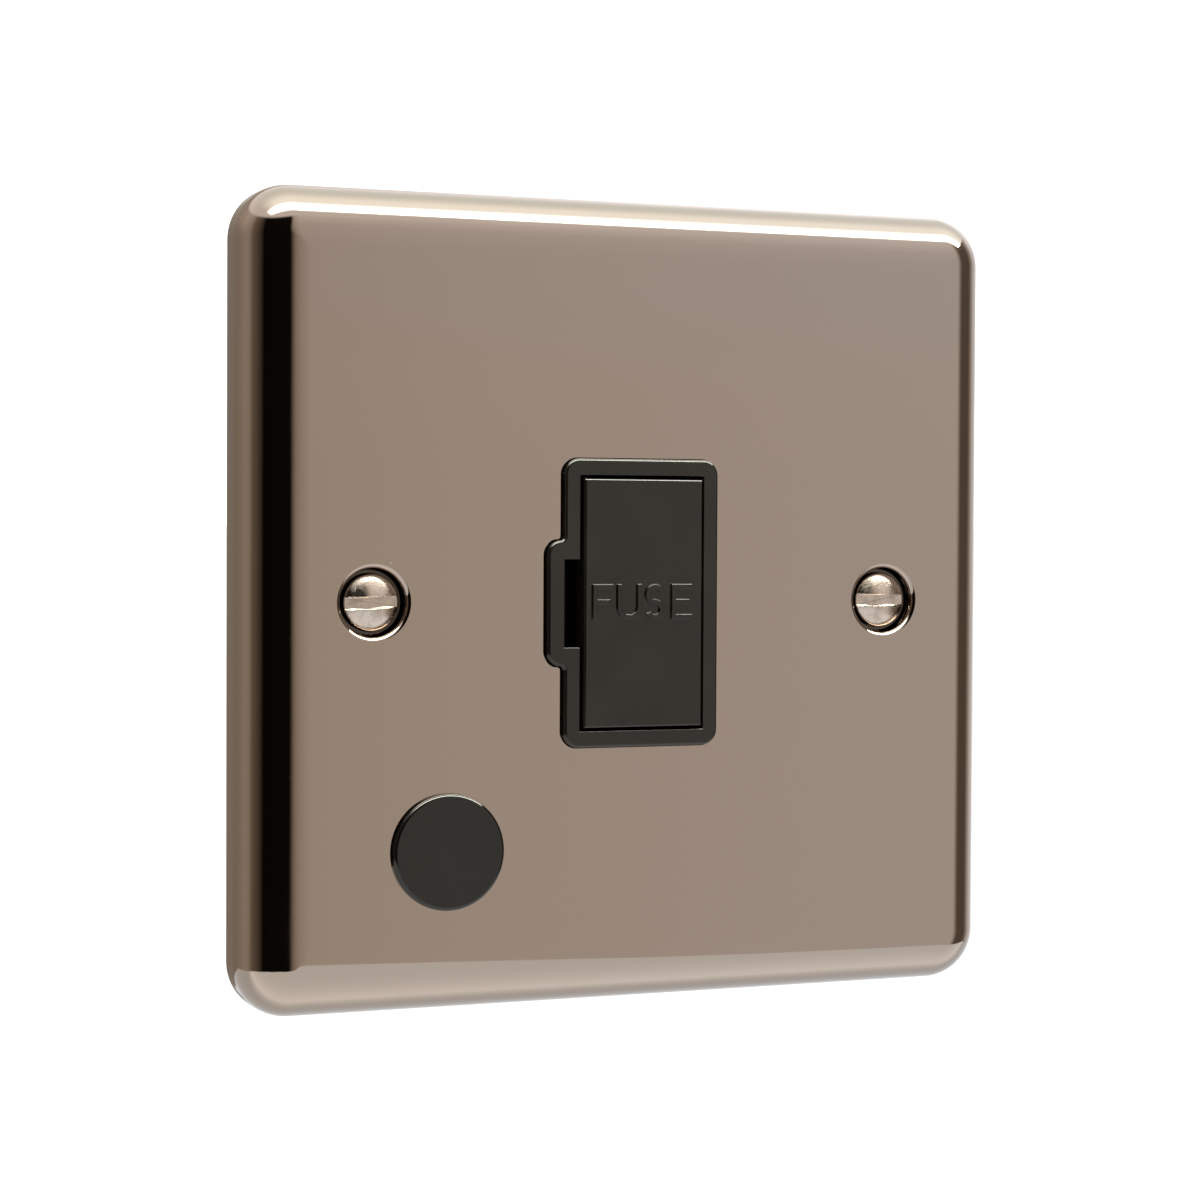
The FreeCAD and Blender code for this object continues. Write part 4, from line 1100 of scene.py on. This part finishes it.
@dataclass
class Screens:
    """A ring of grey screens round the object that only reflections see, bright in front of it."""

    levels: tuple[tuple[float, float], ...] = (
        (-180.0, 0.345), (-150.0, 1.0), (-108.0, 1.0), (-92.0, 0.42), (-84.0, 0.19), (-58.0, 0.21),
        (-52.0, 0.60), (-46.0, 1.0), (-30.0, 1.0), (-19.0, 0.93), (-14.0, 0.85), (-8.0, 0.70),
        (-5.0, 0.50), (-2.5, 0.008), (56.0, 0.006), (66.0, 0.12), (84.0, 0.28), (94.0, 0.57),
        (105.0, 0.64), (125.0, 0.52), (165.0, 0.34), (180.0, 0.345))
    distance: float = 3.0
    low: float = -2.4
    high: float = 2.6
    fade: float = 0.5
    warm: Colour = (1.0, 0.79, 0.60)
    sides: int = 96
    lifts: tuple[tuple[float, float, float], ...] = ((0.05, 0.35, 0.03), (0.2, 2.6, 0.37))
    rear_lift: tuple[float, float, float] = (0.3, 1.5, 0.4)
    rear_from: tuple[float, float] = (0.5, 1.5)

    def build(self, brightness: float) -> None:
        """Make the ring, with its brightness set by the angle about Z, left of the front positive.

        Args:
            brightness: what level 1 stands for.
        """
        bm = bmesh.new()
        ends = [bm.verts.new((0, -self.distance, z)) for z in (self.low, self.high)]
        edge = bm.edges.new(ends)
        bmesh.ops.spin(bm, geom=[*ends, edge], cent=(0, 0, 0), axis=(0, 0, 1), angle=math.tau,
                       steps=self.sides, use_merge=True)
        bmesh.ops.recalc_face_normals(bm, faces=bm.faces)
        ring = turn_to_mesh(bm, "screens")
        ring.data.materials.append(self.material(brightness))
        only_reflected(ring)

    def material(self, brightness: float) -> bpy.types.Material:
        """Grey light by angle, brighter higher up and clear towards the ring's two ends.

        Args:
            brightness: what level 1 stands for.

        Returns:
            The material.
        """
        material, sh = new_material("screens")
        across, out, up = sh.parts_of(sh.object_place())
        angle = (across * -1.0).degrees_over(out * -1.0)
        _, green, blue = self.warm
        stops = [((place + 180) / 360,
                  (level, level * green ** (1 - level), level * blue ** (1 - level), 1.0))
                 for place, level in self.levels]
        colour = sh.node("ShaderNodeValToRGB", {"stops": stops}, {0: angle / 360.0 + 0.5})
        cover = up.ramp(self.low, self.low + self.fade)
        cover = cover * (1.0 - up.ramp(self.high - self.fade, self.high))
        low, high, share = self.rear_lift
        lift = up.ramp(low, high) * out.ramp(*self.rear_from) * share
        for low, high, share in self.lifts:
            lift = lift + up.ramp(low, high) * share
        sh.glow(colour, (lift + 1.0) * brightness, cover)
        return material


@dataclass(frozen=True)
class Card:
    """A flat sheet of light that only reflections see, with a level that changes along Y."""

    name: str
    height: float
    corners: tuple[tuple[float, float], ...]
    levels: tuple[tuple[float, float], ...]
    tint: Colour
    soft_left: float = MM

    def build(self) -> None:
        """Make the sheet."""
        bm = bmesh.new()
        bm.faces.new([bm.verts.new((x, y, self.height)) for x, y in self.corners])
        card = turn_to_mesh(bm, self.name)
        material, sh = new_material(self.name)
        across, out, _ = sh.parts_of(sh.object_place())
        first, last = self.levels[0][0], self.levels[-1][0]
        peak = max(level for _, level in self.levels)
        stops = [((y - first) / (last - first), (*(part * level / peak for part in self.tint), 1.0))
                 for y, level in self.levels]
        share = sh.node("ShaderNodeValToRGB", {"stops": stops}, {0: (out - first) / (last - first)})
        left = min(x for x, _ in self.corners)
        sh.glow(share, peak, across.ramp(left, left + self.soft_left))
        card.data.materials.append(material)
        only_reflected(card)


@dataclass(frozen=True)
class Softbox:
    """A rectangular lamp that lights the object and isn't mirrored in it."""

    name: str
    place: tuple[float, float, float]
    turn_degrees: tuple[float, float, float]
    size: tuple[float, float]
    radiance: float

    def build(self) -> None:
        """Hang the lamp; its power follows from the wanted radiance and its area."""
        lamp = bpy.data.lights.new(self.name, "AREA")
        lamp.shape = "RECTANGLE"
        lamp.size, lamp.size_y = self.size
        lamp.energy = self.radiance * math.pi * self.size[0] * self.size[1]
        made = bpy.data.objects.new(self.name, lamp)
        made.location = self.place
        made.rotation_euler = [math.radians(angle) for angle in self.turn_degrees]
        made.visible_camera = False
        made.visible_glossy = False
        bpy.context.scene.collection.objects.link(made)


LAMPS = (
    Softbox("top_softbox", (0.1, -0.225, 0.50), (0, 0, 0), (1.0, 0.36), 6.5),
    Softbox("top_rear_softbox", (0.1, 0.015, 0.50), (0, 0, 0), (1.0, 0.12), 2.5),
    Softbox("rear_fill", (-0.2, 0.75, 0.25), (-72, 0, 0), (0.9, 0.5), 1.6),
)
CARDS = (
    Card("overhead_screen", 0.5,
         corners=((-0.45, -0.40), (0.75, -0.40), (0.75, 0.42), (-0.45, 0.42)),
         levels=((-0.40, 1.6), (-0.360, 3.0), (-0.33, 30.0), (-0.31, 50.0), (-0.195, 50.0),
                 (-0.175, 9.0), (-0.145, 3.4), (-0.106, 3.0), (-0.024, 2.9), (0.056, 2.35),
                 (0.14, 1.95), (0.234, 1.8), (0.42, 1.75)),
         tint=(0.92, 1.0, 0.97), soft_left=0.301),
    Card("lower_sheet", -0.35,
         corners=((-1.3, -0.3), (-0.95, -0.9), (-0.4, -1.3), (0.29, -1.5), (0.37, -0.6),
                  (0.9, 0.0), (0.9, 1.0), (-1.3, 1.0)),
         levels=((-1.5, 1.30), (-0.69, 1.32), (-0.38, 1.40), (-0.25, 1.50), (-0.185, 1.58),
                 (-0.116, 1.70), (-0.056, 1.76), (0.0, 1.38), (0.056, 1.14), (0.116, 1.03),
                 (1.0, 1.03)),
         tint=(0.985, 1.06, 1.13)),
)


@dataclass
class Studio:
    """The camera, the white surroundings, the pale floor, the lamps, the screens and the cards."""

    camera_place: tuple[float, float, float] = (-0.118405, -0.289102, 0.007927)
    camera_turn: tuple[float, float, float] = (88.5318, -0.2778, -22.0523)
    lens: float = 83.803
    sensor: float = 36.0
    floor_drop: float = 0.16
    floor_size: float = 8.0
    floor_greys: tuple[float, float] = (0.90, 0.94)
    floor_lift: float = 0.60
    sky_fill: float = 0.42
    sky_rises: tuple[tuple[float, float, float], ...] = ((6.0, 44.0, 0.45), (100.0, 130.0, 0.25))
    brightness: float = 1.05

    def build(self) -> None:
        """Set up everything round the object."""
        self.camera()
        self.world()
        self.floor()
        for lamp in LAMPS:
            lamp.build()
        Screens().build(self.brightness)
        for card in CARDS:
            card.build()

    def camera(self) -> None:
        """The camera at the photograph's place."""
        data = bpy.data.cameras.new("camera")
        data.lens = self.lens
        data.sensor_width = self.sensor
        data.clip_start = 0.01
        made = bpy.data.objects.new("camera", data)
        made.location = self.camera_place
        made.rotation_euler = Euler([math.radians(angle) for angle in self.camera_turn])
        bpy.context.scene.collection.objects.link(made)
        bpy.context.scene.camera = made
        bpy.context.scene.view_settings.view_transform = "Standard"

    def world(self) -> None:
        """White where the camera, gloss or glass looks, brighter overhead, and a softer fill."""
        world = bpy.data.worlds.new("surroundings")
        world.use_nodes = True
        bpy.context.scene.world = world
        sh = Shader(world.node_tree)
        _, out, up = sh.parts_of(sh.node("ShaderNodeTexCoord", output="Generated"))
        path = sh.node("ShaderNodeLightPath").socket.node
        seen = [Value(sh, path.outputs[name]) for name in
                ("Is Camera Ray", "Is Glossy Ray", "Is Transmission Ray")]
        shown = (seen[0] + seen[1] + seen[2]).clamped()
        rise = up.degrees_over(out * -1.0)
        bright = self.brightness
        for low, high, share in self.sky_rises:
            bright = rise.ramp(low, high) * share + bright
        strength = shown * (bright - self.sky_fill) + self.sky_fill
        inputs = {"Color": (1.0, 1.0, 1.0, 1.0), "Strength": strength}
        sky = sh.node("ShaderNodeBackground", {}, inputs)
        sh.node("ShaderNodeOutputWorld", {}, {"Surface": sky})

    def floor(self) -> None:
        """A pale floor below the object, white where it is lit and darker in the shadow."""
        bm = bmesh.new()
        bmesh.ops.create_grid(bm, x_segments=1, y_segments=1, size=self.floor_size / 2)
        bmesh.ops.translate(bm, vec=(0, 0, CAD_BOX[0].z - self.floor_drop), verts=bm.verts)
        floor = turn_to_mesh(bm, "floor")
        material, sh = new_material("pale_floor")
        grain = sh.noise(sh.object_place(), 0.05, 3.0)
        dark, pale = self.floor_greys
        colour = sh.mix(grain, (dark, dark, dark), (pale, pale, pale))
        sh.surface({"Base Color": colour, "Roughness": 0.9, "Specular IOR Level": 0.1,
                    "Emission Color": (1.0, 1.0, 1.0, 1.0), "Emission Strength": self.floor_lift})
        floor.data.materials.append(material)
        floor.visible_glossy = False


def main() -> None:
    """Build the surroundings and every piece, in order."""
    Studio().build()
    moulding = BlackMoulding().material()
    gloss = BlackMoulding("black_gloss", (0.0022, 0.0020, 0.0017), (0.0038, 0.0035, 0.0030),
                          roughness=0.06, spread=0.05, specular=0.385, grain=0.0005 * MM)
    cover = BlackMoulding("cover_moulding", (0.020, 0.020, 0.020), (0.034, 0.033, 0.032),
                          roughness=0.46, spread=0.14, specular=0.4, grain=0.01 * MM)
    nickel = WornNickel().material()
    brass = DrawnMetal("brass", (0.72, 0.50, 0.20), (0.50, 0.33, 0.13), roughness=0.18)
    zinc = DrawnMetal("zinc_steel", (0.62, 0.62, 0.60), (0.42, 0.42, 0.41), roughness=0.26,
                      stretch=(9.0, 1.0, 1.0))
    caps = DrawnMetal("cap_nickel", (0.66, 0.61, 0.54), (0.45, 0.40, 0.35), roughness=0.14,
                      stretch=(1.0, 1.0, 8.0))
    wire = DrawnMetal("fuse_wire", (0.70, 0.68, 0.64), (0.5, 0.48, 0.45), roughness=0.2)
    FrontPlate().build(BlackNickel().material())
    SoftenedPieces({"housing": 0.12}, Body.BASE, Slot.BLACK_MOULDING,
                   front_mm=0.15).build(moulding)
    SoftenedPieces({"fuse_carrier": 0.09}, Body.CARRIER, Slot.BLACK_MOULDING,
                   front_mm=0.19).build(moulding)
    BlankingPlug().build(gloss.material())
    FixingScrew("fixing_screw_left", 3.0).build(nickel)
    FixingScrew("fixing_screw_right", 0.5).build(nickel)
    SoftenedPieces({"fuse_tube": 0.0}, Body.CARRIER, Slot.CERAMIC).build(Ceramic().material())
    SoftenedPieces({"fuse_cap_upper": 0.12, "fuse_cap_lower": 0.12}, Body.CARRIER,
                   Slot.SCREW_NICKEL).build(caps.material())
    SoftenedPieces({"rear_cover": 0.15, "cord_grip_bar": 0.25}, Body.BASE,
                   Slot.COVER_MOULDING).build(cover.material())
    strips = ("supply_contact", "load_contact", "neutral_link", "earth_strap")
    blocks = ("live_in_terminal", "neutral_in_terminal", "live_out_terminal",
              "neutral_out_terminal", "earth_terminal")
    SoftenedPieces({**dict.fromkeys(strips, 0.08), **dict.fromkeys(blocks, 0.2)}, Body.BASE,
                   Slot.BRASS).build(brass.material())
    screws = ("live_in_screw", "neutral_in_screw", "live_out_screw", "neutral_out_screw",
              "earth_in_screw", "earth_out_screw", "cover_screws", "cord_grip_screws")
    fasteners = {**dict.fromkeys(screws, 0.15), "plate_studs": 0.1, "stud_clips": 0.05}
    SoftenedPieces(fasteners, Body.BASE, Slot.ZINC_STEEL).build(zinc.material())
    wire_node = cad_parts["fuse_element"]
    wire_node.data.materials.clear()
    wire_node.data.materials.append(wire.material())


if __name__ == "__main__":
    main()
